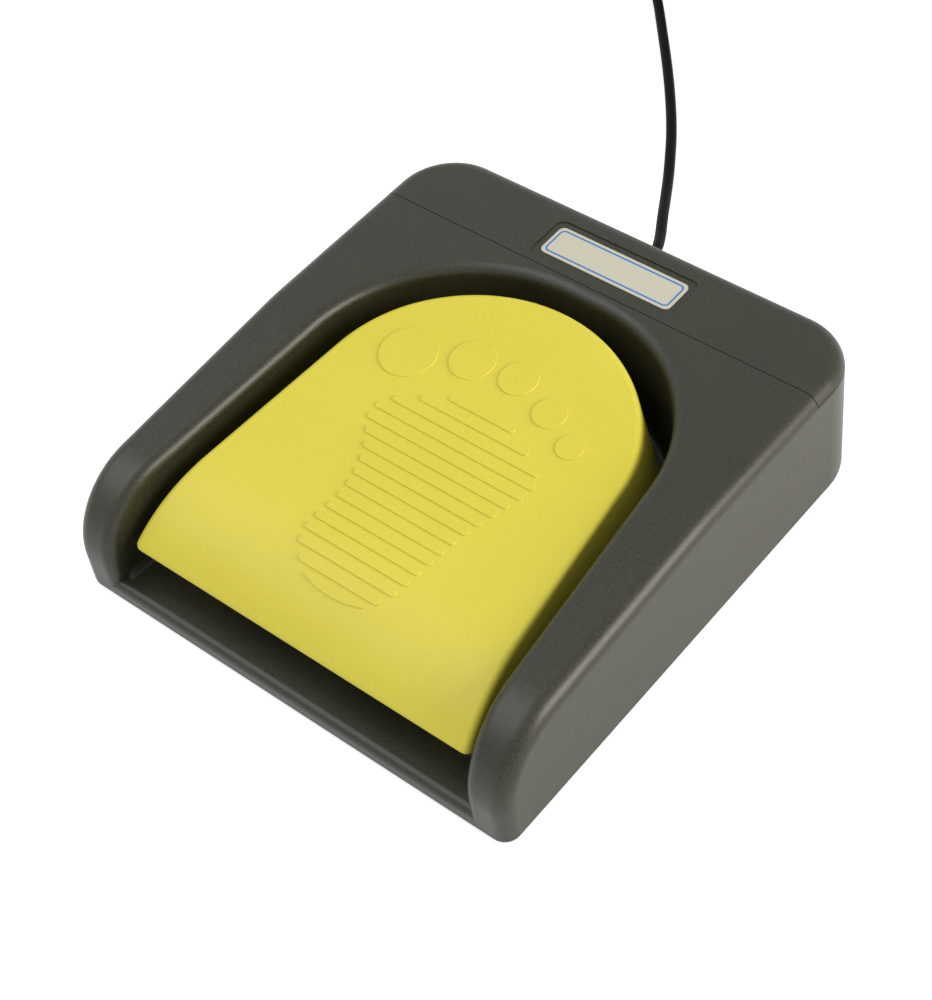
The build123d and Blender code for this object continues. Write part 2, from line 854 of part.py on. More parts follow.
# Four rubber feet under the plate
foot_places = [
    (x_side * (housing_width / 2 - foot_from_side), y_side * (housing_length / 2 - foot_from_end))
    for x_side in (-1, 1)
    for y_side in (-1, 1)
]
with BuildPart() as rubber_feet:
    with BuildSketch():
        with Locations(*foot_places):
            Circle(foot_radius)
    extrude(amount=foot_height)
    fillet(rubber_feet.edges().group_by(Axis.Z)[0], foot_edge_radius)
rubber_feet.part.label = "rubber_feet"
export_step(rubber_feet.part, "parts/rubber_feet.step")

# Screws from below into the cover's posts
with BuildPart() as cover_screws:
    for screw_x, screw_y in cover_screw_places:
        add_screw(Plane((screw_x, screw_y, floor_bottom)), plain_screw, cover_screw_reach)
cover_screws.part.label = "cover_screws"
export_step(cover_screws.part, "parts/cover_screws.step")


# Pedal form: leaning sides between the upper outline and the skirt's lower outline, under the nose
def pedal_loft(outset):
    rise = loft_rise * math.tan(math.radians(pedal_draft))
    with BuildPart() as body:
        loft(
            [
                pedal_outline(
                    skirt_plane.offset(-loft_rise), skirt_half_width, well_lean,
                    skirt_side_length, skirt_side_radius, outset + rise,
                ),
                pedal_outline(
                    pedal_plane.offset(loft_rise), pedal_half_width, pedal_lean,
                    pedal_side_length, pedal_side_radius, outset - rise,
                ),
            ],
            ruled=True,
        )
    return body.part


edge_outer = nose_point(pedal_nose_radius, nose_edge_angle)
edge_way = (-math.cos(nose_edge_angle), -math.sin(nose_edge_angle))
skirt_run = edge_outer[1] - skirt_height(edge_outer[0])
skirt_run = skirt_run / (-edge_way[1] + edge_way[0] * math.tan(math.radians(pedal_travel)))
skirt_corner = (edge_outer[0] + edge_way[0] * skirt_run, edge_outer[1] + edge_way[1] * skirt_run)
nose_top_angle = math.pi / 2 + pedal_tilt

with BuildPart() as pedal_form:
    add(pedal_loft(0))
    with BuildSketch(Plane.YZ):
        with BuildLine():
            Polyline(
                edge_outer,
                skirt_corner,
                (rear, skirt_height(rear)),
                (rear, pedal_plane_height(rear)),
                (nose_top_y, nose_top_z),
            )
            ThreePointArc(
                (nose_top_y, nose_top_z),
                nose_point(pedal_nose_radius, (nose_top_angle + nose_edge_angle) / 2),
                edge_outer,
            )
        make_face()
    extrude(amount=housing_width / 2, both=True, mode=Mode.INTERSECT)
    corner_edges = pedal_form.edges().filter_by(
        lambda edge: abs(edge.center().X) > well_half_width / 2
        and edge.center().Y < skirt_corner[0]
        and edge.center().Z < edge_outer[1]
        and abs(edge.tangent_at(0.5).X) < 0.5
    )
    fillet(corner_edges, pedal_corner_radius)
    upper_faces = pedal_form.faces().filter_by(lambda face: face.normal_at().Z > 0.5)
    top_edges = pedal_form.edges().filter_by(
        lambda edge: sum(edge in face.edges() for face in upper_faces) == 1
    )
    print("pedal corner edges", len(corner_edges), "pedal top edges", len(top_edges))
    fillet(top_edges, pedal_edge_radius)

# The space under the pedal's roof, less the ears, the arm's boss, the spring seat and the stop posts
inner_nose_radius = pedal_nose_radius - pedal_roof
roof_drop = pedal_roof / math.cos(pedal_tilt)
inner_nose_end = nose_point(inner_nose_radius, math.pi * 5 / 6)
spring_y = from_rear(spring_from_rear)
spring_seat_height = pedal_plane_height(spring_y) - roof_drop - spring_seat_depth
with BuildPart() as pedal_hollow:
    add(pedal_loft(-pedal_wall))
    with BuildSketch(Plane.YZ):
        with BuildLine():
            ThreePointArc(
                inner_nose_end,
                nose_point(inner_nose_radius, (math.pi * 5 / 6 + nose_top_angle) / 2),
                nose_point(inner_nose_radius, nose_top_angle),
            )
            Polyline(
                nose_point(inner_nose_radius, nose_top_angle),
                (rear, pedal_plane_height(rear) - roof_drop),
                (rear, -overrun),
                (inner_nose_end[0], -overrun),
                inner_nose_end,
            )
        make_face()
    extrude(amount=housing_width / 2, both=True, mode=Mode.INTERSECT)
    for side in (-1, 1):
        with BuildSketch(Plane.YZ.offset(side * ear_x)):
            with Locations((axle_y, axle_height)):
                Circle(ear_radius)
            with Locations((axle_y, axle_height + housing_height / 2)):
                Rectangle(2 * ear_radius, housing_height)
        extrude(amount=ear_thickness / 2, both=True, mode=Mode.SUBTRACT)
    with BuildSketch(Plane.XY.offset(arm_top)):
        with Locations((0, from_rear(arm_start_from_rear) + arm_boss_length / 2)):
            Rectangle(arm_boss_width, arm_boss_length)
    extrude(amount=housing_height, mode=Mode.SUBTRACT)
    with BuildSketch(Plane.XY.offset(spring_seat_height)):
        with Locations((0, from_rear(spring_from_rear))):
            Circle(spring_seat_radius)
    extrude(amount=housing_height, mode=Mode.SUBTRACT)
    with BuildSketch(Plane.XY.offset(spring_seat_height - spring_stud_height)):
        with Locations((0, from_rear(spring_from_rear))):
            Circle(spring_stud_radius)
    extrude(amount=housing_height, mode=Mode.SUBTRACT)
    pad_drop = (from_rear(pad_from_rear) - axle_y) * math.sin(math.radians(pedal_travel))
    with BuildSketch(Plane.XY.offset(floor_top + pad_height + pad_drop + loose_gap)):
        with Locations(
            (-pad_x, from_rear(pad_from_rear)),
            (pad_x, from_rear(pad_from_rear)),
        ):
            Circle(stop_post_radius)
    extrude(amount=housing_height, mode=Mode.SUBTRACT)


# A plane that lies on the pedal's upper side at a distance from the front, counted along the surface
def surface_plane(along, x_place, rise):
    flat_end = pedal_nose_end / math.cos(pedal_tilt)
    if along >= flat_end:
        spot = Vector(0, math.cos(pedal_tilt), math.sin(pedal_tilt)) * along
        spot = spot + Vector(0, front, pedal_front_height)
        angle = nose_top_angle
    else:
        angle = nose_top_angle + (flat_end - along) / pedal_nose_radius
        spot = Vector(0, *nose_point(pedal_nose_radius, angle))
    normal = Vector(0, math.cos(angle), math.sin(angle))
    return Plane(origin=spot + normal * rise + Vector(x_place, 0, 0), x_dir=(1, 0, 0), z_dir=normal)


# Raised toes and sole bars, each rooted in the pedal's roof
def raised_edges(piece, plane):
    level = relief_height + relief_root
    return piece.edges().filter_by(
        lambda edge: abs((edge.center() - plane.origin).dot(plane.z_dir) - level) < tiny
    )


def toe_disc(x_place, along, radius):
    plane = surface_plane(along, x_place, -relief_root)
    with BuildPart() as toe:
        with BuildSketch(plane):
            Circle(radius)
        extrude(amount=relief_height + relief_root)
        fillet(raised_edges(toe, plane), relief_edge_radius)
    return toe.part


sole_end = toe_along - sole_from_toes
bar_pitch = (sole_end - sole_start) / (len(sole_left_shares) - 1)
bar_width = bar_pitch * bar_width_share


# A bar of the sole; the heel's bar has one arc for its front edge and ends
def sole_bar(front_left, front_right, rear_left, rear_right, along, heel):
    plane = surface_plane(along + bar_width / 2, 0, -relief_root)
    half = bar_width / 2
    with BuildPart() as bar:
        with BuildSketch(plane):
            with BuildLine():
                if heel:
                    Line((rear_right, half), (rear_left, half))
                    ThreePointArc(
                        (rear_left, half), ((front_left + front_right) / 2, -half), (rear_right, half),
                    )
                else:
                    Polyline(
                        (front_left, -half), (front_right, -half),
                        (rear_right, half), (rear_left, half), close=True,
                    )
            make_face()
        extrude(amount=relief_height + relief_root)
        upright = bar.edges().filter_by(
            lambda edge: abs(edge.tangent_at(0.5).dot(plane.z_dir)) > 1 - tiny
        )
        corner_radius = heel_corner_radius if heel else bar_corner_radius
        fillet(upright, min(corner_radius, corner_share * bar_width))
        fillet(raised_edges(bar, plane), relief_edge_radius)
    return bar.part


with BuildPart() as foot_pedal:
    add(pedal_form.part)
    add(pedal_hollow.part, mode=Mode.SUBTRACT)
    # bore for the axle
    with BuildSketch(Plane.YZ.offset(-housing_width / 2)):
        with Locations((axle_y, axle_height)):
            Circle(axle_radius + running_gap)
    extrude(amount=housing_width, mode=Mode.SUBTRACT)
    # way through the rear wall for the arm
    with BuildSketch(Plane.XY.offset(-overrun)):
        with Locations((0, from_rear(arm_start_from_rear) + arm_boss_length + overrun)):
            Rectangle(arm_width + 2 * loose_gap, 2 * overrun)
    extrude(amount=arm_top + overrun + loose_gap, mode=Mode.SUBTRACT)
    # pilot holes for the arm's screws
    arm_screw_places = [
        (0, from_rear(arm_start_from_rear) + share * arm_boss_length) for share in arm_screw_shares
    ]
    with BuildSketch(Plane.XY.offset(arm_bottom)):
        with Locations(*arm_screw_places):
            Circle(small_screw[0] + pilot_gap)
    extrude(amount=arm_screw_reach + face_gap, mode=Mode.SUBTRACT)
    # toes
    for x_share, rise_share, radius in zip(toe_x_shares, toe_rise_shares, toe_radii):
        add(toe_disc(x_share * toe_arch_width, toe_along + rise_share * toe_arch_width, radius))
    # sole
    tip_left, tip_right = sole_tip_shares
    left_shares = (tip_left,) + sole_left_shares
    right_shares = (tip_right,) + sole_right_shares
    bar_count = len(sole_left_shares)
    for number in range(bar_count):
        left = left_shares[number + 1]
        right = right_shares[number + 1]
        rear_left = left + (left_shares[number] - left) * bar_width_share
        rear_right = right + (right_shares[number] - right) * bar_width_share
        add(sole_bar(
            left * sole_width, right * sole_width, rear_left * sole_width, rear_right * sole_width,
            sole_end - number * bar_pitch, number == bar_count - 1,
        ))
foot_pedal.part.label = "foot_pedal"
export_step(foot_pedal.part, "parts/foot_pedal.step")

# Steel axle with a groove for a clip near each end
groove_x = bracket_x + bracket_thickness / 2 + groove_width / 2
with BuildPart() as hinge_axle:
    with BuildSketch(Plane.YZ):
        with Locations((axle_y, axle_height)):
            Circle(axle_radius)
    extrude(amount=groove_x + groove_width / 2 + axle_end, both=True)
    chamfer(hinge_axle.edges(), groove_depth / 2)
    for side in (-1, 1):
        with BuildSketch(Plane.YZ.offset(side * groove_x)):
            with Locations((axle_y, axle_height)):
                Circle(axle_radius + overrun)
                Circle(axle_radius - groove_depth, mode=Mode.SUBTRACT)
        extrude(amount=groove_width / 2, both=True, mode=Mode.SUBTRACT)
hinge_axle.part.label = "hinge_axle"
export_step(hinge_axle.part, "parts/hinge_axle.step")

# Spring clips in the axle's grooves, open at the top
with BuildPart() as axle_clips:
    for side in (-1, 1):
        with BuildSketch(Plane.YZ.offset(side * groove_x)):
            with Locations((axle_y, axle_height)):
                Circle(clip_radius)
                Circle(axle_radius - groove_depth, mode=Mode.SUBTRACT)
            with Locations((axle_y, axle_height + clip_radius)):
                Rectangle(2 * (axle_radius - groove_depth) - loose_gap, 2 * clip_radius, mode=Mode.SUBTRACT)
        extrude(amount=clip_thickness / 2, both=True)
axle_clips.part.label = "axle_clips"
export_step(axle_clips.part, "parts/axle_clips.step")


# Angle bracket that carries one end of the axle
def hinge_bracket(side):
    with BuildPart() as bracket:
        with BuildSketch(Plane.YZ.offset(side * bracket_x)):
            with Locations((axle_y, axle_height)):
                Circle(bracket_radius)
            with Locations((axle_y, (floor_top + axle_height) / 2)):
                Rectangle(2 * bracket_radius, axle_height - floor_top)
        extrude(amount=bracket_thickness / 2, both=True)
        with BuildSketch(Plane.XY.offset(floor_top)):
            with Locations((side * (bracket_x + flange_reach / 2), axle_y)):
                Rectangle(flange_reach + bracket_thickness, flange_length)
        extrude(amount=flange_thickness)
        outer_corners = bracket.edges().filter_by(Axis.Z).filter_by(
            lambda edge: abs(edge.center().X) > bracket_x + flange_reach / 2
        )
        fillet(outer_corners, bracket_corner)
        with BuildSketch(Plane.YZ):
            with Locations((axle_y, axle_height)):
                Circle(axle_radius)
        extrude(amount=side * housing_width / 2, mode=Mode.SUBTRACT)
        with BuildSketch(Plane.XY.offset(floor_top)):
            with Locations(
                (side * bracket_screw_x, axle_y - bracket_screw_y),
                (side * bracket_screw_x, axle_y + bracket_screw_y),
            ):
                Circle(plain_screw[0] + pilot_gap)
        extrude(amount=flange_thickness, mode=Mode.SUBTRACT)
    return bracket.part


hinge_bracket_left = hinge_bracket(-1)
hinge_bracket_left.label = "hinge_bracket_left"
export_step(hinge_bracket_left, "parts/hinge_bracket_left.step")
hinge_bracket_right = hinge_bracket(1)
hinge_bracket_right.label = "hinge_bracket_right"
export_step(hinge_bracket_right, "parts/hinge_bracket_right.step")

# Screws through the brackets' flanges into the floor
with BuildPart() as bracket_screws:
    for screw_x, screw_y in bracket_screw_places:
        add_screw(
            Plane((screw_x, screw_y, floor_top + flange_thickness), z_dir=(0, 0, -1)),
            plain_screw, bracket_screw_reach,
        )
bracket_screws.part.label = "bracket_screws"
export_step(bracket_screws.part, "parts/bracket_screws.step")


# A place on a winding and the way it heads there; sense is 1 for anticlockwise
def winding_station(centre, angle, sense, radius, height, radial_rate, climb_rate):
    outward = Vector(math.cos(angle), math.sin(angle), 0)
    along = Vector(-math.sin(angle), math.cos(angle), 0)
    place = Vector(centre[0], centre[1], height) + outward * radius
    way = along * (sense * radius) + outward * radial_rate + Vector(0, 0, climb_rate)
    return place, way.normalized()


def add_winding(stations):
    for (start, start_way), (end, end_way) in zip(stations, stations[1:]):
        add_biarc(start, start_way, end, end_way)


# Return spring: half a flat turn at each end, the rest climbing evenly
spring_low = floor_top + spring_wire * spring_sunk_share
spring_high = spring_seat_height - spring_wire * spring_sunk_share
spring_half_turns = round(2 * spring_turns)
spring_climb = (spring_high - spring_low - 2 * spring_end_rise) / (spring_half_turns - 4)
spring_heights = [spring_low, spring_low]
for half_turn in range(spring_half_turns - 3):
    spring_heights.append(spring_low + spring_end_rise + half_turn * spring_climb)
spring_heights += [spring_high, spring_high]
with BuildPart() as return_spring:
    with BuildLine() as spring_path:
        spring_stations = []
        for half_turn, height in enumerate(spring_heights):
            level = half_turn < 2 or half_turn > spring_half_turns - 2
            spring_stations.append(winding_station(
                (0, spring_y), half_turn * math.pi, 1, spring_radius - spring_wire / 2,
                height, 0, 0 if level else spring_climb / math.pi,
            ))
        add_winding(spring_stations)
    with BuildSketch(spring_path.wire() ^ 0):
        Circle(spring_wire / 2)
    sweep(path=spring_path.wire())
    with BuildSketch(Plane.XY.offset(floor_top)):
        with Locations((0, spring_y)):
            Circle(spring_radius + overrun)
    extrude(amount=spring_seat_height - floor_top, mode=Mode.INTERSECT)
return_spring.part.label = "return_spring"
export_step(return_spring.part, "parts/return_spring.step")

# Rubber pads that the pedal's posts come down on
with BuildPart() as stop_pads:
    with BuildSketch(Plane.XY.offset(floor_top)):
        with Locations((-pad_x, from_rear(pad_from_rear)), (pad_x, from_rear(pad_from_rear))):
            Circle(pad_radius)
    extrude(amount=pad_height)
    fillet(stop_pads.edges().group_by(Axis.Z)[-1], foot_edge_radius)
stop_pads.part.label = "stop_pads"
export_step(stop_pads.part, "parts/stop_pads.step")

# Flat steel arm that reaches from the pedal over the switch's lever
with BuildPart() as actuator_arm:
    with BuildSketch(Plane.XY.offset(arm_bottom)):
        with Locations((0, (from_rear(arm_start_from_rear) + from_rear(arm_end_from_rear)) / 2)):
            RectangleRounded(arm_width, arm_start_from_rear - arm_end_from_rear, arm_corner)
        with Locations(*arm_screw_places):
            Circle(small_screw[0] + pilot_gap, mode=Mode.SUBTRACT)
    extrude(amount=arm_thickness)
actuator_arm.part.label = "actuator_arm"
export_step(actuator_arm.part, "parts/actuator_arm.step")

with BuildPart() as arm_screws:
    for screw_x, screw_y in arm_screw_places:
        add_screw(Plane((screw_x, screw_y, arm_bottom)), small_screw, arm_screw_reach)
arm_screws.part.label = "arm_screws"
export_step(arm_screws.part, "parts/arm_screws.step")

# Microswitch case with two lugs for the lever and a bore for the plunger
switch_top = floor_top + switch_height
lever_pivot_z = switch_top + lever_pivot_rise
plunger_x = lever_pivot_x - plunger_from_pivot
lever_lean = math.radians(lever_angle)
lever_underside = lever_pivot_z + plunger_from_pivot * math.tan(lever_lean)
lever_underside = lever_underside - lever_thickness / 2 / math.cos(lever_lean)
plunger_top = lever_underside - plunger_clearance
lug_middle = switch_thickness / 2 - lug_thickness / 2
with BuildPart() as switch_body:
    with BuildSketch(Plane.XZ.offset(-switch_y)):
        with Locations((switch_left + switch_length / 2, floor_top + switch_height / 2)):
            RectangleRounded(switch_length, switch_height, switch_corner)
    extrude(amount=switch_thickness / 2, both=True)
    for side in (-1, 1):
        with BuildSketch(Plane.XZ.offset(-switch_y - side * lug_middle)):
            with Locations((lever_pivot_x, switch_top + (lug_rise - switch_corner) / 2)):
                RectangleRounded(2 * lug_half_length, lug_rise + switch_corner, switch_corner / 2)
            with Locations((lever_pivot_x, lever_pivot_z)):
                Circle(trunnion_radius + running_gap, mode=Mode.SUBTRACT)
        extrude(amount=lug_thickness / 2, both=True)
    with BuildSketch(Plane.XY.offset(switch_top)):
        with Locations((plunger_x, switch_y)):
            Circle(plunger_radius + running_gap)
    extrude(amount=plunger_top - plunger_depth - 2 * plunger_dome - switch_top - lever_thickness,
            mode=Mode.SUBTRACT)
    with BuildSketch(Plane.XZ.offset(-rear)):
        with Locations(*switch_screw_places):
            Circle(small_screw[0] + pilot_gap)
    extrude(amount=housing_length / 2, mode=Mode.SUBTRACT)
switch_body.part.label = "switch_body"
export_step(switch_body.part, "parts/switch_body.step")

# Lever: a strip on a barrel with two trunnions, and a round bump at its tip
lever_plane = Plane(
    origin=(lever_pivot_x, switch_y, lever_pivot_z),
    x_dir=(-math.cos(lever_lean), 0, math.sin(lever_lean)),
    z_dir=(0, 1, 0),
)
with BuildPart() as switch_lever:
    with BuildSketch(lever_plane):
        with Locations((lever_pivot_x / 2, 0)):
            Rectangle(lever_pivot_x, lever_thickness)
        Circle(lever_barrel_radius)
        with Locations((lever_pivot_x, lever_bump_rise)):
            Circle(lever_bump_radius)
    extrude(amount=lever_width / 2, both=True)
    with BuildSketch(lever_plane):
        Circle(trunnion_radius)
    extrude(amount=switch_thickness / 2 - running_gap, both=True)
switch_lever.part.label = "switch_lever"
export_step(switch_lever.part, "parts/switch_lever.step")

with BuildPart() as switch_plunger:
    with BuildSketch(Plane.XY.offset(plunger_top - plunger_depth)):
        with Locations((plunger_x, switch_y)):
            Circle(plunger_radius)
    extrude(amount=plunger_depth)
    fillet(switch_plunger.edges().group_by(Axis.Z)[-1], plunger_dome)
switch_plunger.part.label = "switch_plunger"
export_step(switch_plunger.part, "parts/switch_plunger.step")

# Three solder tabs on the switch's end
switch_end = switch_left + switch_length
with BuildPart() as switch_terminals:
    for rise in terminal_rises:
        with BuildSketch(Plane.XY.offset(floor_top + rise)):
            with Locations((switch_end + terminal_length / 2, switch_y)):
                RectangleRounded(terminal_length, terminal_width, switch_corner)
                Circle(terminal_hole_radius, mode=Mode.SUBTRACT)
        extrude(amount=terminal_thickness)
switch_terminals.part.label = "switch_terminals"
export_step(switch_terminals.part, "parts/switch_terminals.step")

with BuildPart() as switch_screws:
    for screw_x, screw_z in switch_screw_places:
        add_screw(
            Plane((screw_x, switch_y + switch_thickness / 2, screw_z), z_dir=(0, -1, 0)),
            small_screw, switch_screw_reach,
        )
switch_screws.part.label = "switch_screws"
export_step(switch_screws.part, "parts/switch_screws.step")

# Circuit board on its four posts
board_top = board_height + board_thickness
with BuildPart() as circuit_board:
    with BuildSketch(Plane.XY.offset(board_height)):
        with Locations((board_x, board_y)):
            RectangleRounded(board_length, board_width, board_corner)
        with Locations(*board_screw_places):
            Circle(small_screw[0] + pilot_gap, mode=Mode.SUBTRACT)
    extrude(amount=board_thickness)
circuit_board.part.label = "circuit_board"
export_step(circuit_board.part, "parts/circuit_board.step")

with BuildPart() as board_screws:
    for screw_x, screw_y in board_screw_places:
        add_screw(
            Plane((screw_x, screw_y, board_top), z_dir=(0, 0, -1)), small_screw, board_screw_reach,
        )
board_screws.part.label = "board_screws"
export_step(board_screws.part, "parts/board_screws.step")

with BuildPart() as controller_chip:
    with BuildSketch(Plane.XY.offset(board_top)):
        with Locations((board_x + chip_offset, board_y)):
            Rectangle(chip_length, chip_width)
    extrude(amount=chip_height)
    chamfer(controller_chip.edges().group_by(Axis.Z)[-1], chip_height / 10)
controller_chip.part.label = "controller_chip"
export_step(controller_chip.part, "parts/controller_chip.step")

with BuildPart() as crystal:
    with BuildSketch(Plane.XY.offset(board_top)):
        with Locations((board_x + crystal_offset_x, board_y + crystal_offset_y)):
            SlotOverall(crystal_length, crystal_width)
    extrude(amount=crystal_height)
    fillet(crystal.edges().group_by(Axis.Z)[-1], crystal_height / 10)
crystal.part.label = "crystal"
export_step(crystal.part, "parts/crystal.step")

with BuildPart() as capacitors:
    with BuildSketch(Plane.XY.offset(board_top)):
        with Locations(*[(board_x + along, board_y + across) for along, across in capacitor_offsets]):
            Circle(capacitor_radius)
    extrude(amount=capacitor_height)
    fillet(capacitors.edges().group_by(Axis.Z)[-1], capacitor_height / 20)
capacitors.part.label = "capacitors"
export_step(capacitors.part, "parts/capacitors.step")

# Two sockets on the board, with a plug on each
header_x = board_x + board_length / 2 - header_from_edge - header_length / 2
header_sizes = ((cable_header_offset, cable_header_width), (switch_header_offset, switch_header_width))
with BuildPart() as cable_header:
    with BuildSketch(Plane.XY.offset(board_top)):
        for offset, width in header_sizes:
            with Locations((header_x, board_y + offset)):
                Rectangle(header_length, width)
    extrude(amount=header_height)
cable_header.part.label = "cable_header"
export_step(cable_header.part, "parts/cable_header.step")

with BuildPart() as cable_connector:
    with BuildSketch(Plane.XY.offset(board_top + header_height)):
        for offset, width in header_sizes:
            with Locations((header_x, board_y + offset)):
                Rectangle(header_length - 2 * connector_inset, width - 2 * connector_inset)
    extrude(amount=connector_height)
cable_connector.part.label = "cable_connector"
export_step(cable_connector.part, "parts/cable_connector.step")

# Cable inside the housing, from the strain relief through the clamp to its split end
relief_inner_face = rear - wall - relief_flange_thickness
cable_turn_y = from_rear(cable_turn_from_rear)
cable_end_x = cable_x - cable_end_reach
with BuildPart() as inner_cable:
    with BuildLine() as cable_path:
        FilletPolyline(
            (cable_x, relief_inner_face, cable_height),
            (cable_x, cable_turn_y, cable_height),
            (cable_end_x, cable_turn_y, cable_height),
            radius=cable_turn_radius,
        )
    with BuildSketch(cable_path.wire() ^ 0):
        Circle(cord_diameter / 2)
    sweep(path=cable_path.wire())
inner_cable.part.label = "inner_cable"
export_step(inner_cable.part, "parts/inner_cable.step")

connector_face = header_x + header_length / 2 - connector_inset
with BuildPart() as cable_wires:
    for number, (side_step, rise_step) in enumerate(((-1, -1), (-1, 1), (1, 1), (1, -1))):
        wire_y = board_y + cable_header_offset + (number - (wire_count - 1) / 2) * wire_pitch
        with BuildLine() as wire_path:
            start_y = cable_turn_y + side_step * wire_spread
            start_z = cable_height + rise_step * wire_spread
            FilletPolyline(
                (cable_end_x, start_y, start_z),
                (cable_end_x - wire_lead, start_y, start_z),
                (cable_x - wire_turn_reach, wire_y, wire_header_height),
                (connector_face, wire_y, wire_header_height),
                radius=wire_bend,
            )
        add(rod_along(wire_path.wire(), wire_diameter))
cable_wires.part.label = "cable_wires"
export_step(cable_wires.part, "parts/cable_wires.step")

with BuildPart() as switch_wires:
    for side, rise in ((-1, terminal_rises[0]), (1, terminal_rises[2])):
        start_z = floor_top + rise + terminal_thickness / 2
        start_x = switch_end + terminal_length
        wire_y = board_y + switch_header_offset + side * wire_pitch / 2
        with BuildLine() as wire_path:
            FilletPolyline(
                (start_x, switch_y, start_z),
                (start_x + switch_wire_lead, switch_y, start_z),
                (start_x + switch_wire_lead, from_rear(switch_wire_from_rear), start_z),
                (cable_x - switch_wire_turn_reach, from_rear(switch_wire_from_rear), start_z),
                (cable_x - switch_wire_end_reach, wire_y, wire_header_height),
                (connector_face, wire_y, wire_header_height),
                radius=switch_wire_bend,
            )
        add(rod_along(wire_path.wire(), switch_wire_diameter))
switch_wires.part.label = "switch_wires"
export_step(switch_wires.part, "parts/switch_wires.step")

# Clamp that holds the cable down
with BuildPart() as cable_clamp:
    with BuildSketch(Plane.XZ.offset(-clamp_y)):
        with Locations((cable_x, clamp_seat + clamp_thickness / 2)):
            Rectangle(2 * clamp_half_length, clamp_thickness)
        with Locations((cable_x, cable_height)):
            Circle(cord_diameter / 2 + close_gap, mode=Mode.SUBTRACT)
        with Locations((cable_x, (clamp_seat - overrun + cable_height) / 2)):
            Rectangle(cord_diameter + 2 * close_gap, cable_height - clamp_seat + overrun, mode=Mode.SUBTRACT)
    extrude(amount=clamp_width / 2, both=True)
    with BuildSketch(Plane.XY.offset(clamp_seat)):
        with Locations(*clamp_screw_places):
            Circle(small_screw[0] + pilot_gap)
    extrude(amount=clamp_thickness, mode=Mode.SUBTRACT)
cable_clamp.part.label = "cable_clamp"
export_step(cable_clamp.part, "parts/cable_clamp.step")

with BuildPart() as clamp_screws:
    for screw_x, screw_y in clamp_screw_places:
        add_screw(
            Plane((screw_x, screw_y, clamp_seat + clamp_thickness), z_dir=(0, 0, -1)),
            small_screw, clamp_screw_reach,
        )
clamp_screws.part.label = "clamp_screws"
export_step(clamp_screws.part, "parts/clamp_screws.step")

# Strain relief: flanges on both sides of the rear wall and a tapered boot with grooves
relief_plane = Plane(origin=(cable_x, 0, cable_height), x_dir=(1, 0, 0), z_dir=(0, 0, 1))
relief_end = rear + relief_length
boot_start = rear + relief_flange_thickness
boot_length = relief_end - boot_start
with BuildPart() as strain_relief:
    with BuildSketch(relief_plane):
        with BuildLine():
            Polyline(
                (0, relief_inner_face),
                (relief_flange_radius, relief_inner_face),
                (relief_flange_radius, rear - wall),
                (relief_hole_radius, rear - wall),
                (relief_hole_radius, rear),
                (relief_flange_radius, rear),
                (relief_flange_radius, boot_start),
                (relief_root_radius, boot_start),
                (relief_tip_radius, relief_end),
                (0, relief_end),
                close=True,
            )
        make_face()
    revolve(axis=Axis((cable_x, 0, cable_height), (0, 1, 0)))
    for ring in range(relief_rings):
        share = (ring + ring_share) / (relief_rings + ring_share)
        ring_radius = relief_root_radius + (relief_tip_radius - relief_root_radius) * share
        with BuildSketch(Plane.XZ.offset(-boot_start - share * boot_length)):
            with Locations((cable_x, cable_height)):
                Circle(relief_flange_radius + overrun)
                Circle(ring_radius - ring_depth, mode=Mode.SUBTRACT)
        extrude(amount=boot_length / relief_rings * ring_share / 2, both=True, mode=Mode.SUBTRACT)
strain_relief.part.label = "strain_relief"
export_step(strain_relief.part, "parts/strain_relief.step")

# Cord: free stretch from the strain relief to the coil
coil_y = rear + coil_behind
coil_centre = (coil_x, coil_y)
entry_angle = math.radians(coil_entry_angle)
exit_angle = math.radians(coil_exit_angle)
coil_low = cord_diameter / 2 + tie_thickness + tie_gap / 2
layer_step = coil_pitch
swept_turns = coil_whole_turns + (coil_entry_angle - coil_exit_angle) / 360
layer_turns = (swept_turns - (coil_layers - 1) / 2) / coil_layers
coil_inner_radius = coil_outer_radius - coil_pitch * layer_turns
coil_start, entry_way = winding_station(coil_centre, entry_angle, -1, coil_outer_radius, coil_low, 0, 0)
coil_top = coil_low + (coil_layers - 1) * layer_step
coil_end, exit_way = winding_station(coil_centre, exit_angle, -1, coil_outer_radius, coil_top, 0, 0)
stretch_end = coil_start - entry_way * cord_diameter
last_corner = stretch_end - entry_way * coil_lead
stretch_route = [
    (cable_x, relief_end, cable_height),
    (cable_x, from_rear(-17.5), cable_height),
    (-12.7, from_rear(-24.6), 9.4),
    (-19.6, from_rear(-32.9), 6.0),
    (-26.4, from_rear(-43.3), 3.0),
    (-31.7, from_rear(-51.9), 1.5),
    (-36.6, from_rear(-59.5), 1.5),
    (-42.2, from_rear(-67.9), 1.5),
    (-50.3, from_rear(-78.6), 1.5),
    (-59.8, from_rear(-90.2), 1.5),
    (-71.5, from_rear(-103.6), 1.5),
    (-81.0, from_rear(-114.4), 1.7),
    tuple(last_corner),
    tuple(stretch_end),
]
with BuildPart() as cord_stretch:
    with BuildLine() as stretch_path:
        FilletPolyline(*stretch_route, radius=route_radii(stretch_route, "cord_stretch"))
    with BuildSketch(stretch_path.wire() ^ 0):
        Circle(cord_diameter / 2)
    sweep(path=stretch_path.wire())
print_volume("cord_stretch", cord_stretch.part, stretch_path.wire().length, cord_diameter)
cord_stretch.part.label = "cord_stretch"
export_step(cord_stretch.part, "parts/cord_stretch.step")


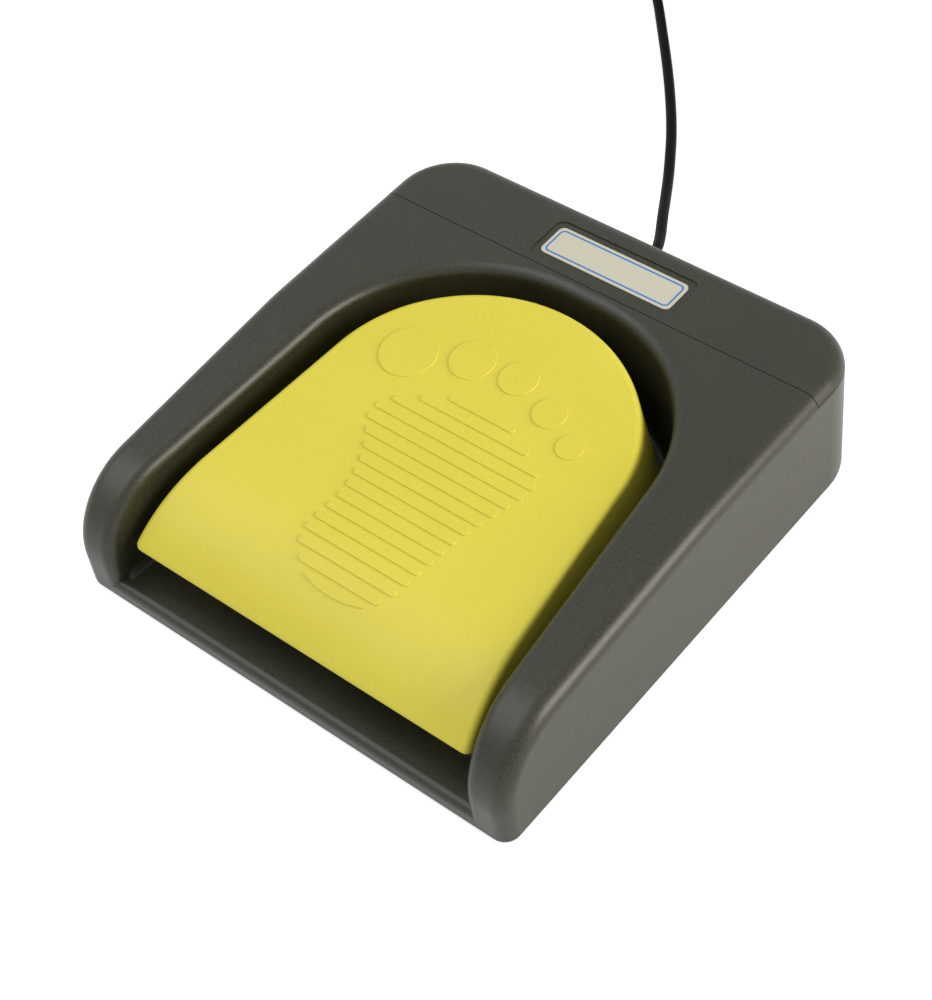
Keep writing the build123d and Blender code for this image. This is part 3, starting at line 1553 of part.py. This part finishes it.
# Coil: layers that wind inwards and outwards by turns, with half a turn to climb between them
def coil_stations():
    stations = []
    angle = entry_angle
    height = coil_low
    radius = coil_outer_radius
    span = layer_turns * 2 * math.pi / coil_spans
    for layer in range(coil_layers):
        rate = coil_pitch / (2 * math.pi) * (-1 if layer % 2 == 0 else 1)
        for step in range(coil_spans + 1):
            at_end = step == 0 or step == coil_spans
            stations.append(winding_station(
                coil_centre, angle - step * span, -1, radius + rate * step * span, height,
                0 if at_end else rate, 0,
            ))
        angle -= coil_spans * span + math.pi
        radius += rate * coil_spans * span
        height += layer_step
    return stations


with BuildPart() as cord_coil:
    with BuildLine() as coil_path:
        Line(stretch_end, coil_start)
        add_winding(coil_stations())
        Line(coil_end, coil_end + exit_way * cord_diameter)
    with BuildSketch(coil_path.wire() ^ 0):
        Circle(cord_diameter / 2)
    sweep(path=coil_path.wire())
print_volume("cord_coil", cord_coil.part, coil_path.wire().length, cord_diameter)
print("cord_coil least gap", round(least_gap(coil_path.wire(), cord_diameter, 10), 2))
cord_coil.part.label = "cord_coil"
export_step(cord_coil.part, "parts/cord_coil.step")

# Cord: short tail from the coil's top down to the plug
tail_start = coil_end + exit_way * cord_diameter
plug_axis_height = plug_body_height / 2
plug_turn = math.radians(plug_heading)
plug_way = Vector(math.cos(plug_turn), math.sin(plug_turn), 0)
tail_route = [
    tuple(tail_start),
    tuple(tail_start + exit_way * tail_lead),
    (-60.2, from_rear(-181.8), 6.4),
    (-45.8, from_rear(-184.0), plug_axis_height),
    tuple(Vector(-45.8, from_rear(-184.0), plug_axis_height) + plug_way * plug_lead),
]
with BuildPart() as cord_tail:
    with BuildLine() as tail_path:
        FilletPolyline(*tail_route, radius=route_radii(tail_route, "cord_tail"))
    with BuildSketch(tail_path.wire() ^ 0):
        Circle(cord_diameter / 2)
    sweep(path=tail_path.wire())
print_volume("cord_tail", cord_tail.part, tail_path.wire().length, cord_diameter)
cord_tail.part.label = "cord_tail"
export_step(cord_tail.part, "parts/cord_tail.step")

# Plastic tie round the coil's section
tie_turn = math.radians(tie_angle)
tie_plane = Plane(
    origin=(coil_x, coil_y, 0),
    x_dir=(math.cos(tie_turn), math.sin(tie_turn), 0),
    z_dir=(math.sin(tie_turn), -math.cos(tie_turn), 0),
)
tie_inside_low = coil_inner_radius - cord_diameter / 2 - tie_gap
tie_inside_high = coil_outer_radius + cord_diameter / 2 + tie_gap
tie_inside_top = coil_top + cord_diameter / 2 + tie_gap / 2
tie_middle = ((tie_inside_low + tie_inside_high) / 2, (tie_thickness + tie_inside_top) / 2)
tie_inside_size = (tie_inside_high - tie_inside_low, tie_inside_top - tie_thickness)
with BuildPart() as cord_tie:
    with BuildSketch(tie_plane):
        with Locations(tie_middle):
            RectangleRounded(
                tie_inside_size[0] + 2 * tie_thickness, tie_inside_size[1] + 2 * tie_thickness, tie_corner,
            )
            RectangleRounded(
                tie_inside_size[0], tie_inside_size[1], tie_corner - tie_thickness, mode=Mode.SUBTRACT,
            )
    extrude(amount=tie_width / 2, both=True)
    with BuildSketch(tie_plane):
        with Locations((tie_inside_high + tie_thickness / 2 + tie_head / 2, tie_middle[1])):
            Rectangle(tie_head, tie_width)
    extrude(amount=tie_width / 2 + tie_thickness, both=True)
cord_tie.part.label = "cord_tie"
export_step(cord_tie.part, "parts/cord_tie.step")

# Plug: boot and moulded body, metal shell, tongue and contacts, in planes square to its axis
plug_start = Vector(*tail_route[-1])


def plug_plane(along, across, rise):
    side = Vector(-plug_way.Y, plug_way.X, 0)
    place = plug_start + plug_way * along + side * across + Vector(0, 0, rise)
    return Plane(origin=place, x_dir=side, z_dir=plug_way)


body_start = plug_boot_length
body_end = plug_boot_length + plug_body_length
with BuildPart() as plug_body:
    with BuildSketch(plug_plane(body_start, 0, 0)):
        RectangleRounded(plug_body_width, plug_body_height, plug_body_corner)
    extrude(amount=plug_body_length)
    end_faces = plug_body.faces().filter_by(GeomType.PLANE)
    near_face = end_faces.sort_by(Axis(tuple(plug_start), tuple(plug_way)))[0]
    fillet(near_face.edges(), plug_edge_radius)
    with BuildSketch(plug_plane(0, 0, 0)):
        Circle(plug_boot_tip_radius)
    with BuildSketch(plug_plane(body_start + plug_edge_radius, 0, 0)):
        Circle(plug_boot_root_radius)
    loft()
plug_body.part.label = "plug_body"
export_step(plug_body.part, "parts/plug_body.step")

with BuildPart() as plug_shell:
    with BuildSketch(plug_plane(body_end, 0, 0)):
        RectangleRounded(plug_shell_width, plug_shell_height, plug_shell_corner)
        RectangleRounded(
            plug_shell_width - 2 * plug_shell_wall, plug_shell_height - 2 * plug_shell_wall,
            plug_shell_corner - plug_shell_wall, mode=Mode.SUBTRACT,
        )
    extrude(amount=plug_shell_length)
    with BuildSketch(Plane(origin=plug_plane(body_end + plug_shell_length / 2, 0, 0).origin,
                           x_dir=tuple(plug_way), z_dir=(0, 0, 1))):
        with Locations((0, -window_spacing / 2), (0, window_spacing / 2)):
            Rectangle(window_size, window_size)
    extrude(amount=plug_shell_height, both=True, mode=Mode.SUBTRACT)
plug_shell.part.label = "plug_shell"
export_step(plug_shell.part, "parts/plug_shell.step")

tongue_low = -plug_shell_height / 2 + plug_shell_wall + close_gap
with BuildPart() as plug_tongue:
    with BuildSketch(plug_plane(body_end, 0, tongue_low + plug_tongue_thickness / 2)):
        Rectangle(plug_tongue_width, plug_tongue_thickness)
    extrude(amount=plug_tongue_length)
plug_tongue.part.label = "plug_tongue"
export_step(plug_tongue.part, "parts/plug_tongue.step")

contact_low = tongue_low + plug_tongue_thickness
with BuildPart() as plug_contacts:
    for number in range(contact_count):
        across = (number - (contact_count - 1) / 2) * contact_pitch
        with BuildSketch(plug_plane(body_end, across, contact_low + contact_thickness / 2)):
            Rectangle(contact_width, contact_thickness)
        extrude(amount=contact_length)
plug_contacts.part.label = "plug_contacts"
export_step(plug_contacts.part, "parts/plug_contacts.step")
print("coil bounds", cord_coil.part.bounding_box().min, cord_coil.part.bounding_box().max)
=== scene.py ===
import math
import bpy
from mathutils import Matrix, Vector


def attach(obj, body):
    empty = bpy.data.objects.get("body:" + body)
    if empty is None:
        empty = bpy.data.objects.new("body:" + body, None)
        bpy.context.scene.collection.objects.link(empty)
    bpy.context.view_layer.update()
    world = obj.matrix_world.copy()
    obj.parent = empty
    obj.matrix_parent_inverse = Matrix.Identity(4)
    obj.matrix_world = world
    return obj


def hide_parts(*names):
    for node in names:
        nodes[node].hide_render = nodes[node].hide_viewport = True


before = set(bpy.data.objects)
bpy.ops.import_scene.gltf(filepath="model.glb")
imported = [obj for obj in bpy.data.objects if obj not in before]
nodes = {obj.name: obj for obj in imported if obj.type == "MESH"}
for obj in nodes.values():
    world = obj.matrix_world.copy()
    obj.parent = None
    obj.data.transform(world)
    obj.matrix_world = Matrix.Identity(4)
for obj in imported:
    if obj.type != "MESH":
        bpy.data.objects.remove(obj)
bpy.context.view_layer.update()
mm = 0.001
bpy.ops.object.select_all(action="DESELECT")
print("frame loaded")

# Camera: the photograph's view, from the front right and above
view = {
    "place": (0.24704, -0.24012, 0.40432),
    "right": (0.76947, 0.6302, -0.10379),
    "up": (-0.42995, 0.63127, 0.64548),
    "back": (0.4723, -0.45205, 0.75669),
    "lens": 79.06,
    "sensor": 36.0,
    "nearest": 0.01,
}
bpy.ops.object.camera_add(location=view["place"])
camera = bpy.context.object
camera.name = "photoCamera"
turned = Matrix((view["right"], view["up"], view["back"])).transposed()
camera.rotation_euler = turned.to_euler()
camera.data.lens = view["lens"]
camera.data.sensor_width = view["sensor"]
camera.data.sensor_fit = "AUTO"
camera.data.clip_start = view["nearest"]
bpy.context.scene.camera = camera
print("camera placed")

# Cord: three millimetres thick, from the strain relief past the picture's edge to a tied coil
cord = {
    "diameter": 3.0,
    "splineOrder": 3,
    "stepsPerPoint": 5,
    "roundSteps": 4,
    "route": [
        (-10.5, 80.8, 11.0), (-10.5, 87.0, 10.9), (-15.0, 95.3, 7.8), (-20.3, 103.4, 6.0),
        (-26.4, 113.1, 3.0), (-31.7, 121.7, 1.5), (-36.6, 129.3, 1.5), (-42.2, 137.7, 1.5),
        (-50.3, 148.4, 1.5), (-59.8, 160.0, 1.5), (-71.5, 173.4, 1.5), (-81.0, 184.2, 1.7),
        (-90.96, 193.41, 2.5),
    ],
    "tail": [
        (-72.9, 248.68, 14.5), (-60.2, 251.6, 6.4), (-45.8, 253.8, 4.0), (-33.917, 255.47, 4.0),
    ],
}
coil = {
    "centre": (-85.0, 222.2),
    "outer": 24.0,
    "pitch": 4.0,
    "layers": 4,
    "turns": 14 + 123 / 360,
    "low": 2.5,
    "entry": 223.0,
    "perTurn": 16,
    "pull": 1.0105,      # the spline runs a little inside its points
}


# Where the coil's line is after some turns: layers wind in and out, half a turn climbs between them
def coilPoint(turn):
    layerTurns = (coil["turns"] - (coil["layers"] - 1) / 2) / coil["layers"]
    layer = min(int(turn / (layerTurns + 0.5)), coil["layers"] - 1)
    inside = turn - layer * (layerTurns + 0.5)
    wound = min(inside, layerTurns) * coil["pitch"]
    inner = coil["outer"] - layerTurns * coil["pitch"]
    radius = coil["outer"] - wound if layer % 2 == 0 else inner + wound
    climbed = max(0.0, inside - layerTurns) * 2
    height = coil["low"] + coil["pitch"] * (layer + climbed * climbed * (3 - 2 * climbed))
    angle = math.radians(coil["entry"]) - turn * 2 * math.pi
    x = coil["centre"][0] + radius * coil["pull"] * math.cos(angle)
    y = coil["centre"][1] + radius * coil["pull"] * math.sin(angle)
    return (x, y, height)


coilSteps = round(coil["turns"] * coil["perTurn"])
coilLine = [coilPoint(coil["turns"] * step / coilSteps) for step in range(coilSteps + 1)]
cordLine = cord["route"] + coilLine + cord["tail"]
bpy.ops.curve.primitive_nurbs_path_add()
cable = bpy.context.object
cable.name = "cable"
cable.data.splines.clear()
spline = cable.data.splines.new("NURBS")
spline.points.add(len(cordLine) - 1)
for point, place in zip(spline.points, cordLine):
    point.co = (place[0] * mm, place[1] * mm, place[2] * mm, 1)
    point.radius = cord["diameter"] / 2 * mm      # keeps the curve's box tight
spline.order_u = cord["splineOrder"]
spline.use_endpoint_u = True
spline.resolution_u = cord["stepsPerPoint"]
cable.data.dimensions = "3D"
cable.data.bevel_depth = 1.0
cable.data.bevel_resolution = cord["roundSteps"]
cable.data.use_fill_caps = True
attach(cable, "housing")
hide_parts("cord_stretch", "cord_coil", "cord_tail")
print("cord laid")


# A colour written as it looks on a screen, turned to the shader's linear numbers
def hexColour(text, alpha=1.0):
    parts = [int(text[place:place + 2], 16) / 255 for place in (1, 3, 5)]
    return tuple(p / 12.92 if p <= 0.04045 else ((p + 0.055) / 1.055) ** 2.4 for p in parts) + (alpha,)


# Adds a node with its settings, values and links
def addNode(tree, kind, values=None, links=None, **settings):
    node = tree.nodes.new(kind)
    for name, value in settings.items():
        setattr(node, name, value)
    for name, value in (values or {}).items():
        node.inputs[name].default_value = value
    for name, source in (links or {}).items():
        tree.links.new(source, node.inputs[name])
    return node


# What all the materials share: the two noises and the ramp between their colours
surface = {
    "ior": 1.5,
    "fineDetail": 3.0,
    "fineRoughness": 0.6,
    "wideDetail": 4.0,
    "rampStart": 0.35,
    "rampEnd": 0.6,
}


# A material with a fine grain in its surface and a slight drift in its colour.
# grain and drift are sizes in millimetres, depth is how far the grain stands out in millimetres,
# cloud is the drift's share in the colour
def makeMaterial(name, base, second, roughness, grain, depth, drift=18.0, metallic=0.0, rough=0.06,
                 stretch=(1, 1, 1), specular=0.5, cloud=0.5):
    material = bpy.data.materials.new(name)
    material.use_nodes = True
    tree = material.node_tree
    shader = tree.nodes["Principled BSDF"]
    shader.inputs["Metallic"].default_value = metallic
    if metallic == 0:
        shader.inputs["IOR"].default_value = surface["ior"]
    shader.inputs["Specular IOR Level"].default_value = specular
    place = addNode(tree, "ShaderNodeTexCoord").outputs["Object"]
    place = addNode(tree, "ShaderNodeMapping", {"Scale": stretch}, {"Vector": place}).outputs["Vector"]
    fine = addNode(tree, "ShaderNodeTexNoise",
                   {"Scale": 1 / (grain * mm), "Detail": surface["fineDetail"],
                    "Roughness": surface["fineRoughness"]},
                   {"Vector": place})
    wide = addNode(tree, "ShaderNodeTexNoise",
                   {"Scale": 1 / (drift * mm), "Detail": surface["wideDetail"]}, {"Vector": place})
    blended = addNode(tree, "ShaderNodeMath", {1: 1 - cloud}, {0: fine.outputs["Fac"]},
                      operation="MULTIPLY")
    blended = addNode(tree, "ShaderNodeMath", {1: cloud},
                      {0: wide.outputs["Fac"], 2: blended.outputs[0]}, operation="MULTIPLY_ADD")
    colours = addNode(tree, "ShaderNodeValToRGB", None, {"Fac": blended.outputs[0]})
    colours.color_ramp.elements[0].position = surface["rampStart"]
    colours.color_ramp.elements[0].color = hexColour(second)
    colours.color_ramp.elements[1].position = surface["rampEnd"]
    colours.color_ramp.elements[1].color = hexColour(base)
    tree.links.new(colours.outputs["Color"], shader.inputs["Base Color"])
    sheen = addNode(tree, "ShaderNodeMapRange", {"To Min": roughness - rough, "To Max": roughness + rough},
                    {"Value": wide.outputs["Fac"]})
    tree.links.new(sheen.outputs["Result"], shader.inputs["Roughness"])
    bump = addNode(tree, "ShaderNodeBump", {"Strength": 1.0, "Distance": depth * mm},
                   {"Height": fine.outputs["Fac"]})
    tree.links.new(bump.outputs["Normal"], shader.inputs["Normal"])
    return material


# Injection moulded ABS, spark eroded mould: a fine even grain that keeps reflections soft
absGrey = makeMaterial("mouldedAbsGrey", "#2F3023", "#18190F", 0.38, 0.45, 0.04, rough=0.02,
                       specular=0.42, cloud=0.12)
# The same plastic from a smoother mould, coloured through
absYellow = makeMaterial("mouldedAbsYellow", "#DBD04B", "#D6CA44", 0.42, 0.7, 0.012, drift=30.0,
                         specular=0.3)
# Flexible PVC, extruded: smooth, with a slight waviness
pvcBlack = makeMaterial("flexiblePvcBlack", "#0D0D0E", "#090909", 0.55, 1.2, 0.02, specular=0.06)
# Moulded rubber: soft and dull
rubberBlack = makeMaterial("mouldedRubberBlack", "#1A1A1B", "#131314", 0.75, 0.4, 0.03)
# Zinc plated steel: greyish, slightly mottled
zincSteel = makeMaterial("zincPlatedSteel", "#B4B6B8", "#9EA1A4", 0.34, 0.8, 0.004, drift=3.0, metallic=1.0)
# Cold rolled sheet, with fine lines from rolling
sheetSteel = makeMaterial("rolledSheetSteel", "#A6A9AC", "#94979A", 0.36, 1.0, 0.006, metallic=1.0,
                          stretch=(1, 12, 12))
# The same sheet, blackened: the arm that reaches the switch. Its black is partly the steel's own oxide
# finish and partly painted shade, kept dark so that the gap behind the pedal's toe stays shadowed
blackSteel = makeMaterial("blackOxideSteelPaintedShade", "#1D1E1F", "#161718", 0.5, 0.8, 0.006, metallic=1.0)
# Drawn spring wire
springSteel = makeMaterial("drawnSpringSteel", "#8D9093", "#7C7F82", 0.3, 0.8, 0.004, metallic=1.0)
# Nickel plated sheet on the plug
nickelSteel = makeMaterial("nickelPlatedSteel", "#CFCFCB", "#BDBDB9", 0.22, 2.0, 0.003, metallic=1.0)
# Brass strip with a light tarnish
brassStrip = makeMaterial("brassStrip", "#C9A45A", "#B08C48", 0.3, 0.8, 0.004, drift=2.0, metallic=1.0)
# Powder coated sheet: orange peel
coatedSteel = makeMaterial("powderCoatedSteel", "#2E3033", "#292B2E", 0.5, 1.5, 0.02)
# Glass filled nylon, slightly rough
nylonDark = makeMaterial("mouldedNylonDark", "#232427", "#1C1D20", 0.5, 0.6, 0.02)
nylonWhite = makeMaterial("mouldedNylonWhite", "#E2E0D8", "#D8D6CE", 0.45, 0.8, 0.01)
# Nylon of the cable tie, smooth
nylonBlack = makeMaterial("mouldedNylonBlack", "#101011", "#0B0B0C", 0.4, 0.6, 0.01, specular=0.25)
pbtRed = makeMaterial("mouldedPbtRed", "#A8332C", "#9A2D27", 0.35, 0.8, 0.01)
# Wire insulation
wireRed = makeMaterial("wireInsulationRed", "#B93A31", "#AB342C", 0.4, 1.0, 0.01)
# Glass laminate under solder mask: glossy, the weave just shows
laminateGreen = makeMaterial("solderMaskGreen", "#2B6A43", "#235A38", 0.28, 1.0, 0.008, drift=6.0)
sleeveBlue = makeMaterial("shrinkSleeveBlue", "#23304F", "#1D2844", 0.3, 1.0, 0.006)


# Cream label film with a thin printed blue line that follows its edge
label = {
    "centre": (0.75, 56.5),
    "size": (38.5, 9.7),
    "corner": 1.6,
    "lineInset": 1.0,
    "lineCorner": 1.2,
    "lineWidth": 0.5,
    "film": "#C6C4B2",
    "filmShade": "#C6C4B6",
    "ink": "#3F77BC",
}


def makeLabel():
    material = makeMaterial("polyesterFilmCream", label["film"], label["filmShade"], 0.4, 1.5, 0.004,
                            specular=0.3)
    tree = material.node_tree
    shader = tree.nodes["Principled BSDF"]
    film = shader.inputs["Base Color"].links[0].from_socket
    place = addNode(tree, "ShaderNodeTexCoord").outputs["Object"]
    offset = (-label["centre"][0] * mm, -label["centre"][1] * mm, 0)
    place = addNode(tree, "ShaderNodeMapping", {"Location": offset}, {"Vector": place}).outputs["Vector"]
    axes = addNode(tree, "ShaderNodeSeparateXYZ", None, {"Vector": place})
    beyond = []
    for axis, full in zip("XY", label["size"]):
        half = full / 2 - label["lineInset"] - label["lineCorner"]
        away = addNode(tree, "ShaderNodeMath", None, {0: axes.outputs[axis]}, operation="ABSOLUTE")
        away = addNode(tree, "ShaderNodeMath", {1: half * mm}, {0: away.outputs[0]}, operation="SUBTRACT")
        away = addNode(tree, "ShaderNodeMath", {1: 0.0}, {0: away.outputs[0]}, operation="MAXIMUM")
        beyond.append(addNode(tree, "ShaderNodeMath", {1: 2.0}, {0: away.outputs[0]}, operation="POWER"))
    total = addNode(tree, "ShaderNodeMath", None, {0: beyond[0].outputs[0], 1: beyond[1].outputs[0]},
                    operation="ADD")
    reach = addNode(tree, "ShaderNodeMath", None, {0: total.outputs[0]}, operation="SQRT")
    onLine = addNode(tree, "ShaderNodeMath",
                     {1: label["lineCorner"] * mm, 2: label["lineWidth"] / 2 * mm},
                     {0: reach.outputs[0]}, operation="COMPARE")
    printed = addNode(tree, "ShaderNodeMix", {"B": hexColour(label["ink"])},
                      {"Factor": onLine.outputs[0], "A": film}, data_type="RGBA")
    tree.links.new(printed.outputs["Result"], shader.inputs["Base Color"])
    return material


labelFilm = makeLabel()

finishes = {
    "main_housing": absGrey, "rear_cover": absGrey, "base_plate": coatedSteel, "blank_label": labelFilm,
    "foot_pedal": absYellow, "base_screws": zincSteel, "rubber_feet": rubberBlack,
    "cover_screws": zincSteel, "hinge_axle": nickelSteel, "axle_clips": springSteel,
    "hinge_bracket_left": sheetSteel, "hinge_bracket_right": sheetSteel, "bracket_screws": zincSteel,
    "return_spring": springSteel, "stop_pads": rubberBlack, "actuator_arm": blackSteel,
    "arm_screws": zincSteel, "switch_body": nylonDark, "switch_lever": nickelSteel,
    "switch_plunger": pbtRed, "switch_terminals": brassStrip, "switch_screws": zincSteel,
    "switch_wires": wireRed, "circuit_board": laminateGreen, "board_screws": zincSteel,
    "controller_chip": nylonDark, "crystal": nickelSteel, "capacitors": sleeveBlue,
    "cable_header": nylonWhite, "cable_connector": nylonWhite, "inner_cable": pvcBlack,
    "cable_wires": wireRed, "cable_clamp": nylonDark, "clamp_screws": zincSteel,
    "strain_relief": pvcBlack, "cord_stretch": pvcBlack, "cord_coil": pvcBlack, "cord_tail": pvcBlack,
    "cord_tie": nylonBlack, "plug_body": pvcBlack, "plug_shell": nickelSteel, "plug_tongue": nylonWhite,
    "plug_contacts": brassStrip,
}
for name, finish in finishes.items():
    for materialSlot in nodes[name].material_slots:
        materialSlot.material = finish
cable.data.materials.append(pvcBlack)
print("materials set")

# Studio: pale floor, white surroundings, a low lamp at the right and a broad one overhead
studio = {
    "floorSize": 6.0,
    "floorColour": "#E6E6E6",
    "floorRoughness": 0.9,
    "floorGlow": 0.58,
    "worldLight": 0.45,
    "lamps": [
        ("keyLamp", (0.88, 0.24, 0.36), 0.5, 9.0, (1.0, 0.92, 0.8)),
        ("overheadLamp", (-0.45, -0.34, 0.9), 0.85, 5.0, (1.0, 1.0, 1.0)),
    ],
    "target": (0.0, 0.0, 0.02),
}
world = bpy.data.worlds.new("studioWorld")
bpy.context.scene.world = world
world.use_nodes = True
worldTree = world.node_tree
background = worldTree.nodes["Background"]
background.inputs["Color"].default_value = (1, 1, 1, 1)


# One where a ray comes from the camera, a reflection or a clear surface, and zero elsewhere
def seenRays(tree):
    paths = addNode(tree, "ShaderNodeLightPath")
    seen = addNode(tree, "ShaderNodeMath", None,
                   {0: paths.outputs["Is Camera Ray"], 1: paths.outputs["Is Glossy Ray"]}, operation="ADD")
    return addNode(tree, "ShaderNodeMath", None,
                   {0: seen.outputs[0], 1: paths.outputs["Is Transmission Ray"]}, operation="ADD",
                   use_clamp=True).outputs[0]


level = addNode(worldTree, "ShaderNodeMapRange", {"To Min": studio["worldLight"], "To Max": 1.0},
                {"Value": seenRays(worldTree)})
worldTree.links.new(level.outputs["Result"], background.inputs["Strength"])

bpy.ops.mesh.primitive_plane_add(size=studio["floorSize"])
floor = bpy.context.object
floor.name = "floor"
floorPaper = bpy.data.materials.new("floorPaper")
floorPaper.use_nodes = True
floorTree = floorPaper.node_tree
floorShader = floorTree.nodes["Principled BSDF"]
floorShader.inputs["Base Color"].default_value = hexColour(studio["floorColour"])
floorShader.inputs["Roughness"].default_value = studio["floorRoughness"]
floorShader.inputs["Emission Color"].default_value = (1, 1, 1, 1)
glow = addNode(floorTree, "ShaderNodeMath", {1: studio["floorGlow"]}, {0: seenRays(floorTree)},
               operation="MULTIPLY")
floorTree.links.new(glow.outputs[0], floorShader.inputs["Emission Strength"])
floor.data.materials.append(floorPaper)

for lampName, place, size, power, colour in studio["lamps"]:
    bpy.ops.object.light_add(type="AREA", location=place)
    lamp = bpy.context.object
    lamp.name = lampName
    lamp.data.size = size
    lamp.data.energy = power
    lamp.data.color = colour
    aim = Vector(studio["target"]) - Vector(place)
    lamp.rotation_euler = aim.to_track_quat("-Z", "Y").to_euler()
print("studio lit")

bpy.context.scene.view_settings.view_transform = "Standard"
bpy.context.view_layer.update()
